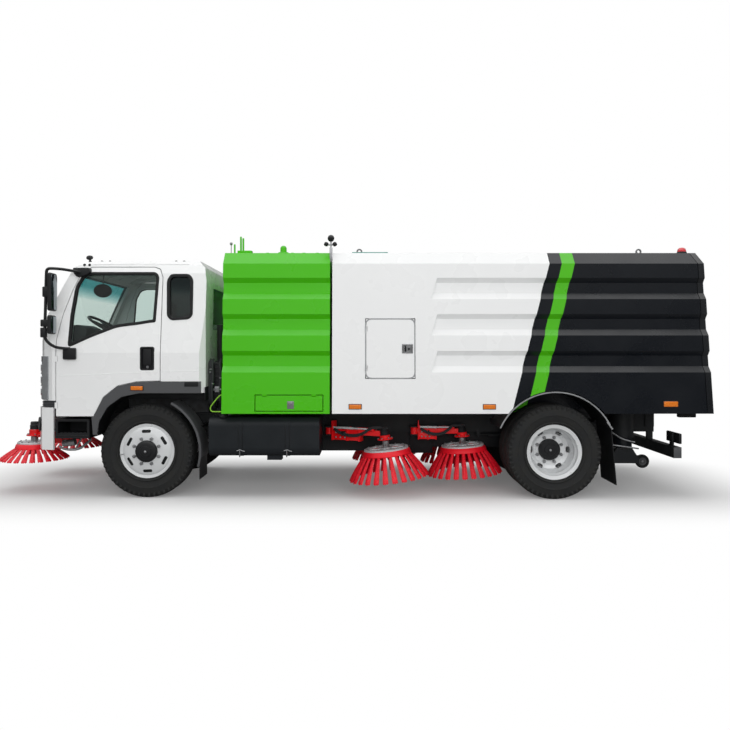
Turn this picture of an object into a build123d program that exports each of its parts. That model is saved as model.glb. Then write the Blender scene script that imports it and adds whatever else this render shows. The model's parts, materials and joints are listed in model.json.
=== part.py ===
from build123d import *
from math import atan2, cos, degrees, hypot, pi, radians, sin
import os

# Street sweeper truck: a two-axle cab-over chassis with a tilting cab, a closed front module,
# a tipping refuse tank with a top-hung tail door, two front and four mid brushes on swing arms,
# and a suction nozzle behind the rear axle.
#
# Millimetres. +X points forward, +Y to the truck's left, +Z up, and the ground is z = 0.
# Lengthwise places are written as stations: the distance behind the front axle's centre.
# Shapes that both sides share are written for the left side (positive y) and mirrored.

# ---------------------------------------------------------------- driving dimensions
WHEELBASE = 4200
FRONT_REACH = 1750            # front axle to the tips of the front brushes
REAR_OVERHANG = 1589           # rear axle to the tank's lower rear corner
TANK_REAR = WHEELBASE + REAR_OVERHANG
FRONT_AXLE_X = (TANK_REAR - FRONT_REACH) / 2

# wheels
TYRE_RADIUS = 483
TYRE_WIDTH = 235
RIM_RADIUS = 254              # bead seat
FLANGE_RADIUS = 282
RIM_WIDTH = 190
FRONT_WHEEL_Y = 870
DUAL_SPACING = 285
REAR_WHEEL_Y = 825            # middle of the twin wheels
BOLT_FACE_OFFSET = 108        # wheel's centre plane to the front wheel's bolt face
HUB_RADIUS = 104
SPINDLE_RADIUS = 34
RUNNING_FIT = 0.05            # radial clearance of a shaft in its hole
FLAT_GAP = 0.3                # clearance where flat faces of two bodies meet

# frame
RAIL_Y = 410                  # outer face of a rail
RAIL_FLANGE = 70
RAIL_WEB = 8
RAIL_BOTTOM = 620
RAIL_HEIGHT = 210
RAIL_TOP = RAIL_BOTTOM + RAIL_HEIGHT
FRAME_FRONT = -1010
FRAME_REAR = TANK_REAR - 308
CROSS_MEMBERS = (-700, 1150, 1700, 2400, 3150, WHEELBASE + 1000)    # stations

BUMPER_FRONT = -1205
BUMPER_TOP = 938
LOCK_BRIDGE = (640, 690)      # stations of the bridge that carries the cab's lock
LOCK_HEIGHTS = (900, 960)

# axles and steering
KINGPIN_Y = 740
KINGPIN_RADIUS = 20
KINGPIN_BOSS = 44
BOSS_HEIGHT = 120
AXLE_DROP = 85                # beam's middle below the wheels' centre
STEERING_ARM = 185
STEERING_ARM_INSET = 45
SPRING_WIDTH = 64
SPRING_INSET = 35             # rail's outer face to the spring's middle
SPRING_EYE = 20
SPRING_EYE_HEIGHT = 592
FRONT_SPRING = 1300
REAR_SPRING = 1350
LEAF = 11

# cab
CAB_HALF = 1040
CAB_ROOF = 2480
CAB_FLOOR = 1010
CAB_REAR = 610
CAB_WALL = 50
CAB_BELT = 1500               # the sides lean in above this height
CAB_SHOULDER = CAB_ROOF - 150 # top of the leaning sides
CAB_LEAN = 110                # by this much at the top of the doors
CAB_PIVOT = (-1105, 990)      # station and height
CAB_PIN_RADIUS = 10
DRIVER_Y = 560
STEERING_WHEEL = (-560, 1785)   # station and height of its middle
DOOR_GAP = 8
DOOR_BOTTOM = 850
GLASS = 5
DOOR_HINGE = (-905, 1034)      # station and y of the left door's hinge line
HANDLE = (-45, 88, 1329, 1557)  # stations and heights of the door handle's recess
DOOR_OUTLINE = [(-912, DOOR_BOTTOM), (-532, DOOR_BOTTOM), (-430, 1050), (-285, 1165), (-90, 1208),
                (152, 1216), (152, 2290), (120, 2372), (60, 2394), (-590, 2394), (-690, 2330),
                (-775, 2140), (-860, 1890), (-912, 1640)]
DOOR_WINDOW = [(-775, 1590), (-700, 1860), (-560, 2230), (-520, 2305), (70, 2320), (95, 2290),
               (75, 1830), (40, 1800), (-330, 1740)]
QUARTER_WINDOW = [(235, 1890), (222, 2250), (250, 2300), (420, 2300), (450, 2260), (455, 1900),
                  (430, 1870), (265, 1860)]
ARCH_TOP = 1088
ARCH_BAND = [(-530, 660), (-545, 850), (-440, 1055), (-285, 1165), (-90, 1203), (160, 1208), (575, 1208),
             (575, ARCH_TOP), (-60, ARCH_TOP), (-240, 1050), (-380, 950), (-470, 800), (-492, 660)]

# bodies of the module and the tank
BODY_HALF = 1150
BODY_BOTTOM = 885
BODY_SHOULDER = 2416
SHOULDER_HALF = BODY_HALF - 90
BODY_TOP = BODY_SHOULDER + 122
ROOF_HALF = SHOULDER_HALF - 105
GROOVE_TOPS = (1521, 1897, 2269)
GROOVE_HEIGHT = 218
GROOVE_SLOPE_UPPER = 48
GROOVE_SLOPE_LOWER = 62
GROOVE_DEPTH = 45
BODY_WALL = 62
MODULE_FRONT = 806
MODULE_REAR = 1901
MAST_RADIUS = 8               # lamp mast in the gap behind the module
TANK_FRONT = 1926
HATCH = (1150, 1830, 915, 1070)      # front and rear stations, bottom and top heights
HATCH_GAP = 8
BULKHEAD = (2880, 2930)       # stations of the wall between the fan room and the hopper
GROOVE_START = 2937           # the tank's sides are flat ahead of this station
GROOVE_SLANT = 60
SHOULDER_REAR = TANK_REAR - 58
ROOF_REAR = SHOULDER_REAR - 41
TAIL_DOOR_THICKNESS = 60
SEAL_GAP = 6
TANK_PIVOT = (FRAME_REAR - 41, RAIL_TOP + 15)      # station and height
ARCH_RADIUS = 634
FRONT_GUARD_RADIUS = 566          # front mudguard's plate, round the wheel's centre

HINGE_RADIUS = 5              # concealed hinges of the doors and the hatch
HINGE_NOTCH = 12
HINGE_INSET = 5

# tip cylinders
CYLINDER_BASE = (WHEELBASE + 500, 660)   # station and height of the cross tube that they turn on
CYLINDER_EYE = (CYLINDER_BASE[0] - 1100, RAIL_TOP + 20)
CYLINDER_Y = 220
BARREL_RADIUS = 52
ROD_RADIUS = 30
BARREL_LENGTH = 860

GUARD_HEIGHTS = (430, 540)    # underride guard's bar
PLATE_BOLTS = 300             # distance between the rear plate's two bolt holes

# brushes: station, y, ring height, tip radius, ring radius, fall from ring to tips, tilt
MID_BRUSHES = {
    "outer": (2483, 790, 499, 425, 245, 318, 6),
    "inner": (WHEELBASE - 868, 520, 499, 410, 240, 318, 4),
}
FRONT_BRUSH = (-1374, 520, 530, 376, 182, 190, 0)
TUFTS = 26
TUFT_THICKNESS = 22
OUTER_ARM_PIVOT = (1865, 482)     # station and y
INNER_ARM_PIVOT = (WHEELBASE - 1395, 472)
FRONT_ARM_PIVOT = (-930, 472)
MID_FORK = (600, 680)             # heights between a pivot fork's plates
FRONT_FORK = (560, 640)
ARM_PIN_RADIUS = 22

# suction nozzle
NOZZLE_FRONT = WHEELBASE + 730
NOZZLE_REAR = NOZZLE_FRONT + 300
NOZZLE_HALF = 620
NOZZLE_BOTTOM = 300
NOZZLE_HEIGHT = 170
DUCT_RADIUS = 105
DUCT_Y = 530
DUCT_WALL = 6
CASTOR_RADIUS = 75
DUCT_LENGTH = 320
SLEEVE_LENGTH = 300


# ---------------------------------------------------------------- helpers
def at(station):
    """X of a station, which is a distance behind the front axle."""
    return FRONT_AXLE_X - station


def block(stations, ys, heights):
    """Box between two stations, two lateral places and two heights."""
    x_low, x_high = sorted(at(station) for station in stations)
    y_low, y_high = sorted(ys)
    z_low, z_high = sorted(heights)
    box = Box(x_high - x_low, y_high - y_low, z_high - z_low)
    return Pos((x_low + x_high) / 2, (y_low + y_high) / 2, (z_low + z_high) / 2) * box


def extruded(points, direction):
    """Straight-sided solid from a closed outline in space, pushed along a direction."""
    face = Face(Wire.make_polygon([Vector(*point) for point in points], close=True))
    return Part() + Solid.extrude(face, Vector(*direction))


def side_outline(points, y_from, y_to):
    """Outline of (station, height) points, extruded across from y_from to y_to."""
    corners = [(at(station), y_from, height) for station, height in points]
    return extruded(corners, (0, y_to - y_from, 0))


def plan_outline(points, z_from, z_to):
    """Outline of (station, y) points, extruded up from z_from to z_to."""
    corners = [(at(station), y, z_from) for station, y in points]
    return extruded(corners, (0, 0, z_to - z_from))


def cross_outline(points, station_from, station_to):
    """Outline of (y, height) points, extruded along the truck between two stations."""
    corners = [(at(station_from), y, height) for y, height in points]
    return extruded(corners, (station_from - station_to, 0, 0))


def rod(start, end, radius):
    """Round bar between two (station, y, height) points."""
    a = Vector(at(start[0]), start[1], start[2])
    b = Vector(at(end[0]), end[1], end[2])
    plane = Plane(origin=a, z_dir=b - a)
    return plane * Cylinder(radius, (b - a).length, align=(Align.CENTER, Align.CENTER, Align.MIN))


def bent_tube(points, radius, bends):
    """Round bar along (station, y, height) points, its corners rounded by the bends' radii."""
    path = FilletPolyline(*[(at(s), y, z) for s, y, z in points], radius=bends)
    return sweep(Plane(origin=path @ 0, z_dir=path % 0) * Circle(radius), path=path)


def turned(profile, centre, spin_axis):
    """Solid of revolution about an axis through the centre: (radius, distance along) points."""
    plane = Plane(origin=centre, z_dir=spin_axis)
    face = Face(Wire.make_polygon([Vector(r, 0, along) for r, along in profile], close=True))
    return plane * (Part() + revolve(face, Axis.Z))


def mirrored(solid):
    """The same shape on the truck's other side."""
    return mirror(solid, about=Plane.XZ)


def both_sides(solid):
    """The left-hand shape and its right-hand twin."""
    return [solid, mirrored(solid)]


def joined(parts):
    """One solid from pieces that are welded together."""
    total = parts[0]
    for part in parts[1:]:
        total = total + part
    return total


def on_side(solid, side):
    """The left-hand shape, or its twin when the side is the right one."""
    return solid if side == "left" else mirrored(solid)


def write(name, *shapes):
    """Write one sub-part's solids to its STEP file."""
    solids = []
    for shape in shapes:
        solids.extend(shape.solids())
    export_step(Compound(children=solids) if len(solids) > 1 else solids[0], f"parts/{name}.step")


# ---------------------------------------------------------------- frame and axles
def chassis_frame():
    """Ladder frame with its cross members, pivots for the cab, the tank and the brush arms."""
    outer = RAIL_Y
    inner = RAIL_Y - RAIL_FLANGE
    section = [
        (outer, RAIL_BOTTOM), (outer, RAIL_TOP), (inner, RAIL_TOP), (inner, RAIL_TOP - RAIL_WEB),
        (outer - RAIL_WEB, RAIL_TOP - RAIL_WEB), (outer - RAIL_WEB, RAIL_BOTTOM + RAIL_WEB),
        (inner, RAIL_BOTTOM + RAIL_WEB), (inner, RAIL_BOTTOM),
    ]
    rail = cross_outline(section, FRAME_FRONT, FRAME_REAR)
    parts = both_sides(rail)
    web_inside = RAIL_Y - RAIL_WEB
    for station in CROSS_MEMBERS:
        parts.append(block((station - 35, station + 35), (-web_inside, web_inside),
                           (RAIL_BOTTOM + 80, RAIL_BOTTOM + 160)))
    # cross tube that the tip cylinders turn on
    base_station, base_height = CYLINDER_BASE
    parts.append(rod((base_station, -web_inside, base_height),
                     (base_station, web_inside, base_height), 30))
    for solid in (cab_pivot_bracket(), tank_hinge_ear(), arm_brackets(), nozzle_guides()):
        parts.extend(both_sides(solid))
    # cab lock bridge over the gearbox, behind the cab
    lock_front, lock_rear = LOCK_BRIDGE
    parts.append(block((lock_front, lock_rear), (-web_inside, web_inside), LOCK_HEIGHTS))
    for side in (-1, 1):
        parts.append(block((lock_front, lock_rear), (side * (RAIL_Y - RAIL_FLANGE), side * web_inside),
                           (RAIL_TOP - 1, LOCK_HEIGHTS[1])))
    return joined(parts)


def cab_pivot_bracket():
    """Upright on the rail's front end that holds the cab's pivot pin."""
    station, height = CAB_PIVOT
    eye = CAB_PIN_RADIUS + 5
    upright = side_outline([(station - eye, height), (station + eye, height + eye - 4),
                            (FRAME_FRONT + 160, RAIL_TOP - 30), (FRAME_FRONT + 160, RAIL_BOTTOM + 20),
                            (FRAME_FRONT, RAIL_BOTTOM + 20), (station - eye, height - 60)],
                           RAIL_Y - RAIL_WEB, RAIL_Y + 14)
    boss = rod((station, RAIL_Y - RAIL_WEB, height), (station, RAIL_Y + 14, height), eye)
    pin = rod((station, RAIL_Y - 20, height), (station, RAIL_Y + 60, height), CAB_PIN_RADIUS)
    return joined([upright, boss, pin])


def tank_hinge_ear():
    """Ear on the rail's rear end with the pin that the tank tips on."""
    station, height = TANK_PIVOT
    ear = side_outline([(station - 60, RAIL_BOTTOM + 60), (station + 36, RAIL_BOTTOM + 60),
                        (station + 36, height), (station - 60, height)], RAIL_Y, RAIL_Y + 20)
    ear = ear + rod((station, RAIL_Y, height), (station, RAIL_Y + 20, height), 34)
    return ear + rod((station, RAIL_Y, height), (station, RAIL_Y + 56, height), 18)


def hanging_bracket(pivot, rail_station, low, high):
    """Fork that stands out from a rail and holds a brush arm's upright pin."""
    station, y = pivot
    reach = [(rail_station - 60, RAIL_Y), (rail_station + 60, RAIL_Y), (station + 38, y),
             (station + 38, y + 34), (station - 38, y + 34), (station - 38, y)]
    plates = [plan_outline(reach, z, z + 12) for z in (low - 12, high)]
    web = block((rail_station - 50, rail_station + 50), (RAIL_Y, RAIL_Y + 12), (low - 12, high + 12))
    pin = rod((station, y, low - 12), (station, y, high + 12), ARM_PIN_RADIUS)
    return joined([*plates, web, pin])


def arm_brackets():
    """Pivot forks of the three brush arms on one side."""
    return joined([hanging_bracket(pivot, pivot[0], *heights) for pivot, heights in (
        (OUTER_ARM_PIVOT, MID_FORK), (INNER_ARM_PIVOT, MID_FORK), (FRONT_ARM_PIVOT, FRONT_FORK))])


def nozzle_guides():
    """Fixed suction duct with its guide sleeve, bolted to the rail's outer face."""
    station = (NOZZLE_FRONT + NOZZLE_REAR) / 2
    outer = DUCT_RADIUS + SEAL_GAP + 2 * DUCT_WALL
    lip = DUCT_RADIUS + FLAT_GAP
    sleeve = turned([(lip, 0), (outer, 0), (outer, SLEEVE_LENGTH), (outer - DUCT_WALL, SLEEVE_LENGTH),
                     (outer - DUCT_WALL, 20), (lip, 20)],
                    (at(station), DUCT_Y, BODY_BOTTOM - SEAL_GAP - SLEEVE_LENGTH), (0, 0, 1))
    shelf = block((station - 60, station + 60), (RAIL_Y, DUCT_Y - outer + 12), (680, 780))
    return sleeve + shelf


def front_axle():
    """Forged beam with a dropped middle, spring seats and a kingpin boss at each end."""
    half = KINGPIN_Y
    centre = TYRE_RADIUS
    low = centre - AXLE_DROP
    level = half - 115
    web = [(-half, centre - 30), (-half, centre + 40), (-520, low + 40), (520, low + 40),
           (half, centre + 40), (half, centre - 30), (level, centre - 30), (520, low - 40),
           (-520, low - 40), (-level, centre - 30)]
    beam = cross_outline(web, 34, -34)
    seats = [block((-70, 70), (y - 45, y + 45), (low + 30, low + 58))
             for y in (-(RAIL_Y - SPRING_INSET), RAIL_Y - SPRING_INSET)]
    beam = joined([beam, *seats])
    for side in (-1, 1):
        y = side * half
        beam = beam + rod((0, y, centre - BOSS_HEIGHT / 2), (0, y, centre + BOSS_HEIGHT / 2), KINGPIN_BOSS)
        beam = beam - rod((0, y, centre - 100), (0, y, centre + 100), KINGPIN_RADIUS + RUNNING_FIT)
    return beam


def knuckle():
    """Left stub axle: fork and kingpin, spindle and the arm to the tie rod."""
    centre = TYRE_RADIUS
    gap = BOSS_HEIGHT / 2 + FLAT_GAP
    forks = [rod((0, KINGPIN_Y, centre + side * gap), (0, KINGPIN_Y, centre + side * (gap + 26)), 40)
             for side in (-1, 1)]
    pin = rod((0, KINGPIN_Y, centre - gap - 26), (0, KINGPIN_Y, centre + gap + 26), KINGPIN_RADIUS)
    cheek = block((-45, 45), (KINGPIN_Y + KINGPIN_BOSS + 8, KINGPIN_Y + KINGPIN_BOSS + 30),
                  (centre - gap - 26, centre + gap + 26))
    bridges = [block((-32, 32), (KINGPIN_Y, KINGPIN_Y + KINGPIN_BOSS + 10), heights)
               for heights in ((centre - gap - 26, centre - gap), (centre + gap, centre + gap + 26))]
    spindle = rod((0, KINGPIN_Y + KINGPIN_BOSS + 20, centre), (0, hub_outer_end("front") - 30, centre),
                  SPINDLE_RADIUS)
    height = centre - gap - 26
    arm = plan_outline([(-30, KINGPIN_Y - 25), (-30, KINGPIN_Y + 30), (STEERING_ARM - 20, tie_end_y() + 24),
                        (STEERING_ARM + 24, tie_end_y() + 24), (STEERING_ARM + 24, tie_end_y() - 24),
                        (STEERING_ARM - 20, tie_end_y() - 24)], height, height + 24)
    return joined([pin, *forks, *bridges, cheek, spindle, arm])


def tie_end_y():
    """Lateral place of the tie rod's ball joint on the left side."""
    return KINGPIN_Y - STEERING_ARM_INSET


def tie_rod():
    """Rod that makes both front wheels steer together, its ends below the steering arms."""
    top = TYRE_RADIUS - BOSS_HEIGHT / 2 - FLAT_GAP - 26 - FLAT_GAP
    height = top - 22
    y = tie_end_y()
    bar = rod((STEERING_ARM, -y, height), (STEERING_ARM, y, height), 16)
    ends = [rod((STEERING_ARM, side * y, height - 24), (STEERING_ARM, side * y, top), 26)
            for side in (-1, 1)]
    return joined([bar, *ends])


def hub_outer_end(axle):
    """Lateral place of a hub's outer end."""
    if axle == "front":
        return FRONT_WHEEL_Y + BOLT_FACE_OFFSET + 36
    return REAR_WHEEL_Y + 62


def rear_axle():
    """Banjo housing with its tubes, and the propeller shaft from the gearbox."""
    centre = TYRE_RADIUS
    station = WHEELBASE
    banjo = turned([(0, -95), (95, -95), (175, -50), (185, 0), (175, 50), (95, 95), (0, 95)],
                   (at(station), 0, centre), (1, 0, 0))
    tube = rod((station, -560, centre), (station, 560, centre), 62)
    spindles = rod((station, -hub_outer_end("rear") + 30, centre),
                   (station, hub_outer_end("rear") - 30, centre), SPINDLE_RADIUS)
    nose = rod((station - 60, 0, centre), (station - 290, 0, centre + 18), 70)
    seats = [block((station - 75, station + 75), (y - 45, y + 45), (centre + 40, centre + 78))
             for y in (-(RAIL_Y - SPRING_INSET), RAIL_Y - SPRING_INSET)]
    housing = joined([banjo, tube, spindles, nose, *seats])
    shaft = rod((station - 291, 0, centre + 18), (1003, 0, 620), 42)
    return housing, shaft


def leaf_spring(station, seat, length, leaves):
    """Left spring pack: leaves of falling length, its eyes hung from the rail's bottom."""
    y = RAIL_Y - SPRING_INSET
    half = length / 2
    sides = (y - SPRING_WIDTH / 2, y + SPRING_WIDTH / 2)
    middle_top = seat + LEAF * leaves
    rise_at_end = SPRING_EYE_HEIGHT - middle_top
    parts = []
    for index in range(leaves):
        reach = half * (1 - 0.17 * index)
        top = seat + LEAF * (leaves - index)
        rise = rise_at_end * (reach / half) ** 2
        parts.append(side_outline([(station - reach, top + rise), (station, top), (station + reach, top + rise),
                                   (station + reach, top + rise - LEAF), (station, top - LEAF),
                                   (station - reach, top + rise - LEAF)], *sides))
    for end in (station - half, station + half):
        parts.append(rod((end, sides[0], SPRING_EYE_HEIGHT), (end, sides[1], SPRING_EYE_HEIGHT), SPRING_EYE))
        parts.append(block((end - SPRING_EYE, end + SPRING_EYE), sides,
                           (SPRING_EYE_HEIGHT, RAIL_BOTTOM - FLAT_GAP)))
    parts.append(block((station - 60, station + 60), sides, (seat + FLAT_GAP, middle_top + 14)))
    return joined(parts)


def leaf_springs():
    """Four spring packs."""
    front_seat = TYRE_RADIUS - AXLE_DROP + 58
    rear_seat = TYRE_RADIUS + 78
    return [*both_sides(leaf_spring(0, front_seat, FRONT_SPRING, 5)),
            *both_sides(leaf_spring(WHEELBASE, rear_seat, REAR_SPRING, 2))]


# ---------------------------------------------------------------- wheels
def tyre(y):
    """Street tyre seated on its rim, with rounded shoulders and three grooves round its tread."""
    half = TYRE_WIDTH / 2
    seat = RIM_RADIUS + FLAT_GAP
    flange = RIM_WIDTH / 2 - 10 - FLAT_GAP
    profile = [(seat, -flange + 7), (FLANGE_RADIUS, -flange), (FLANGE_RADIUS + 6, -flange - 12),
               (FLANGE_RADIUS + 60, -half + 8), (TYRE_RADIUS - 98, -half), (TYRE_RADIUS - 43, -half + 6),
               (TYRE_RADIUS - 12, -half + 20), (TYRE_RADIUS, -half + 40)]
    mirrored_wall = [(radius, -along) for radius, along in reversed(profile)]
    for groove in (-50, 0, 50):
        profile += [(TYRE_RADIUS, groove - 7), (TYRE_RADIUS - 13, groove - 4),
                    (TYRE_RADIUS - 13, groove + 4), (TYRE_RADIUS, groove + 7)]
    return turned(profile + mirrored_wall, (0, y, TYRE_RADIUS), (0, 1, 0))


def rim(y, disc_from_centre):
    """Barrel of a wheel with its flanges, and the disc that bolts to the hub.

    disc_from_centre is the distance from the wheel's centre plane out to the disc's bolt face.
    """
    half = RIM_WIDTH / 2
    skin = RIM_RADIUS - 9
    barrel = turned([(FLANGE_RADIUS, -half), (FLANGE_RADIUS, -half + 10), (RIM_RADIUS, -half + 16),
                     (RIM_RADIUS - 4, -half + 45), (RIM_RADIUS - 16, -half + 70),
                     (RIM_RADIUS - 16, half - 70), (RIM_RADIUS - 4, half - 45), (RIM_RADIUS, half - 16),
                     (FLANGE_RADIUS, half - 10), (FLANGE_RADIUS, half), (skin, half - 8),
                     (skin - 4, half - 45), (skin - 18, half - 70), (skin - 18, -half + 70),
                     (skin - 4, -half + 45), (skin, -half + 8)], (0, y, TYRE_RADIUS), (0, 1, 0))
    outward = 1 if disc_from_centre > 0 else -1
    root = outward * 22
    disc = turned([(HUB_RADIUS - 20, disc_from_centre), (165, disc_from_centre),
                   (205, disc_from_centre - outward * 22), (skin - 16, root),
                   (skin - 16, root - outward * 14), (200, disc_from_centre - outward * 36),
                   (162, disc_from_centre - outward * 14), (HUB_RADIUS - 20, disc_from_centre - outward * 14)],
                  (0, y, TYRE_RADIUS), (0, 1, 0))
    for index in range(6):
        hole = Cylinder(17, 120) + Pos(0, 34, 0) * Cylinder(17, 120) + Pos(0, 17, 0) * Box(34, 34, 120)
        place = Pos(0, y + disc_from_centre - outward * 30, TYRE_RADIUS) * Rot(0, 60 * index, 0)
        disc = disc - place * Pos(192, 0, 0) * Rot(90, 0, 0) * Pos(0, -17, 0) * hole
    return barrel + disc


def hub(inner, outer, y_cap):
    """Turning hub and brake drum round the spindle, closed by a cap."""
    centre = (0, 0, TYRE_RADIUS)
    bore = SPINDLE_RADIUS + RUNNING_FIT
    return turned([(bore, inner), (205, inner), (205, inner + 130), (HUB_RADIUS, inner + 140),
                   (HUB_RADIUS, outer), (96, y_cap), (0, y_cap), (0, y_cap - 12), (bore, y_cap - 12)],
                  centre, (0, 1, 0))


def front_wheel():
    """Left front tyre, and its rim with hub."""
    face = FRONT_WHEEL_Y + BOLT_FACE_OFFSET
    cap = hub_outer_end("front")
    metal = rim(FRONT_WHEEL_Y, BOLT_FACE_OFFSET) + hub(KINGPIN_Y + 84, face, cap)
    return tyre(FRONT_WHEEL_Y), metal


def rear_wheels():
    """Left pair of rear tyres, and their rims with hub."""
    half = DUAL_SPACING / 2
    metal = joined([rim(REAR_WHEEL_Y + half, -half), rim(REAR_WHEEL_Y - half, half),
                    hub(600, REAR_WHEEL_Y + 14, hub_outer_end("rear"))])
    return [tyre(REAR_WHEEL_Y + half), tyre(REAR_WHEEL_Y - half)], metal


def placed_wheel(solid, station, side):
    """A wheel piece moved to its axle's station on one side."""
    return on_side(Pos(at(station), 0, 0) * solid, side)


# ---------------------------------------------------------------- chassis fittings
def engine_blocks():
    """Engine with gearbox under the cab, and the fan's engine inside the front module."""
    engine = block((-420, 480), (-255, 255), (560, 985))
    gearbox = block((480, 1000), (-170, 170), (560, 860))
    sump = block((-300, 300), (-150, 150), (475, 560))
    radiator = block((-640, -560), (-330, 330), (RAIL_BOTTOM - 60, 985))
    neck = block((-560, -420), (-60, 60), (700, 800))
    auxiliary = block((1020, 1760), (-420, 420), (960, 1700))
    feet = [block((station - 45, station + 45), (side * 250, side * (RAIL_Y - RAIL_WEB)), (690, 770))
            for station in (-260, 340) for side in (-1, 1)]
    return joined([engine, gearbox, sump, radiator, neck, *feet]), auxiliary


def rounded_box(stations, ys, heights, radius):
    """Box whose lengthwise edges are rounded."""
    box = block(stations, ys, heights)
    return fillet(box.edges().filter_by(Axis.X), radius)


def side_tanks():
    """Fuel tank on the left with its straps, and the water pump's box on the right."""
    tank = rounded_box((661, 1793), (475, 1075), (440, 840), 90)
    parts = [tank]
    for station in (985, 1465):
        strap = rounded_box((station - 22, station + 22), (471, 1079), (436, 844), 94)
        shelf = block((station - 22, station + 22), (RAIL_Y, 480), (700, 760))
        parts += [strap, shelf]
    step = block((1250, 1400), (880, 1000), (395, 442))
    fuel = joined([*parts, step])
    box = rounded_box((661, 1793), (-1075, -475), (460, 840), 30)
    shelves = [block((station - 22, station + 22), (-480, -RAIL_Y), (700, 760)) for station in (985, 1465)]
    return fuel, joined([box, *shelves])


def arc_band(centre_station, radius, thickness, start, end, ys, steps):
    """Curved plate round a wheel; angles in degrees from the front, over the top, to the rear."""
    angles = [radians(start + (end - start) * index / steps) for index in range(steps + 1)]
    outer = [(centre_station - radius * cos(a), TYRE_RADIUS + radius * sin(a)) for a in angles]
    inner = [(centre_station - (radius - thickness) * cos(a), TYRE_RADIUS + (radius - thickness) * sin(a))
             for a in reversed(angles)]
    return side_outline(outer + inner, *ys)


def mudguards():
    """Front and rear wheel covers with their flaps, and the black aprons between them."""
    front = arc_band(0, FRONT_GUARD_RADIUS, 8, 118, 186, (700, 1030), 8)
    flap_station = FRONT_GUARD_RADIUS - 10
    front_flap = block((flap_station, flap_station + 8), (700, 1030), (200, 430))
    stay_station = FRONT_GUARD_RADIUS - 48
    front_stay = rod((stay_station, RAIL_Y, 720), (stay_station, 800, 720), 16)
    outer = BODY_HALF - 30
    rear = arc_band(WHEELBASE, ARCH_RADIUS - 12, 8, 24, 156, (562, outer), 12)
    flap_top = WHEELBASE + 562
    flap_outline = [(flap_top, 735), (flap_top + 8, 735), (flap_top + 60, 155), (flap_top + 52, 155)]
    rear_flap = side_outline(flap_outline, 646, outer - 10)
    rear_stays = [rod((WHEELBASE + reach, RAIL_Y, 760), (WHEELBASE + reach, 700, 760), 16)
                  for reach in (-530, 535)]
    apron = block((1700, 2760), (RAIL_Y - 70, RAIL_Y - 62), (400, RAIL_BOTTOM))
    left = [joined([front, front_flap, front_stay]), joined([rear, rear_flap, *rear_stays]), apron]
    return left + [mirrored(solid) for solid in left]


def cab_steps():
    """Dark step wells below the doors, carried on the frame."""
    well = block((-925, -575), (640, 1030), (621, 815))
    mouth = block((-900, -600), (720, 1100), (655, 795))
    tread = block((-900, -600), (860, 1025), (655, 675))
    carrier = block((-800, -720), (RAIL_Y, 650), (690, 760))
    return both_sides(joined([well - mouth, tread, carrier]))


def front_bumper():
    """Bumper shell across the nose, deeper and curved back at its ends."""
    front = BUMPER_FRONT
    skin = 35
    outline = [(front, 0), (front + 15, 600), (front + 60, 880), (front + 130, 1000), (front + 265, CAB_HALF),
               (front + 265, CAB_HALF - 30), (front + 145, 970), (front + 95, 850),
               (front + 15 + skin, 570), (front + skin, 0)]
    half = plan_outline(outline, 640, BUMPER_TOP)
    corner = plan_outline([(front + 60, 880), (front + 130, 1000), (front + 265, CAB_HALF),
                           (front + 265, CAB_HALF - 30), (front + 145, 970), (front + 100, 862)], 503, 641)
    bracket = block((front + skin - 1, FRAME_FRONT), (RAIL_Y - RAIL_FLANGE, RAIL_Y - RAIL_WEB), (660, 780))
    half = joined([half, corner, bracket]) - fog_lamp(FLAT_GAP)
    plate = block((front - 4, front + 6), (-230, 230), (690, 800))
    return joined([half, mirrored(half), plate])


def fog_lamp(clearance):
    """Left fog lamp, sunk in the bumper's corner."""
    return turned([(0, 12), (50 + clearance, 12), (54 + clearance, 0), (54 + clearance, -34 - clearance),
                   (0, -34 - clearance)], (at(BUMPER_FRONT + 68), 905, 757), (0.86, 0.5, 0))


def chassis_lamps():
    """Fog lamps in the bumper's corners and tail lamps on the underride guard."""
    tail = block((FRAME_REAR - 3, FRAME_REAR + 19), (BODY_HALF - 390, BODY_HALF - 90), (575, 665))
    return both_sides(fog_lamp(0)) + both_sides(tail)


def underride_guard():
    """Bar across the tail below the frame, hung from the rails."""
    low, high = GUARD_HEIGHTS
    half = BODY_HALF - 40
    bar = block((FRAME_REAR - 81, FRAME_REAR - 1), (-half, half), GUARD_HEIGHTS)
    for y in (-PLATE_BOLTS / 2, PLATE_BOLTS / 2):
        middle = (low + high) / 2
        bar = bar - rod((FRAME_REAR - 21, y, middle), (FRAME_REAR + 9, y, middle), 3.5)
    hangers = [block((FRAME_REAR - 71, FRAME_REAR - 11), (side * (RAIL_Y - 50), side * RAIL_Y),
                     (high, RAIL_BOTTOM)) for side in (-1, 1)]
    lamp_face = FRAME_REAR - 3 - FLAT_GAP
    lamp_posts = [block((lamp_face - 23, lamp_face), (side * 880, side * 940), (high, high + 130))
                  for side in (-1, 1)]
    return joined([bar, *hangers, *lamp_posts])


# ---------------------------------------------------------------- module and tank bodies
def side_y(height):
    """Half width of the bodies at a height on their leaning sides."""
    rise = (height - BODY_BOTTOM) / (BODY_SHOULDER - BODY_BOTTOM)
    return BODY_HALF - rise * (BODY_HALF - SHOULDER_HALF)


def groove_outline(top):
    """Section of one lengthwise groove, open past the side's surface."""
    low = top - GROOVE_HEIGHT
    return [(side_y(low) + 1, low), (side_y(low), low),
            (side_y(low + GROOVE_SLOPE_LOWER) - GROOVE_DEPTH, low + GROOVE_SLOPE_LOWER),
            (side_y(top - GROOVE_SLOPE_UPPER) - GROOVE_DEPTH, top - GROOVE_SLOPE_UPPER),
            (side_y(top), top), (side_y(top) + 40, top), (side_y(low) + 40, low)]


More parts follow.
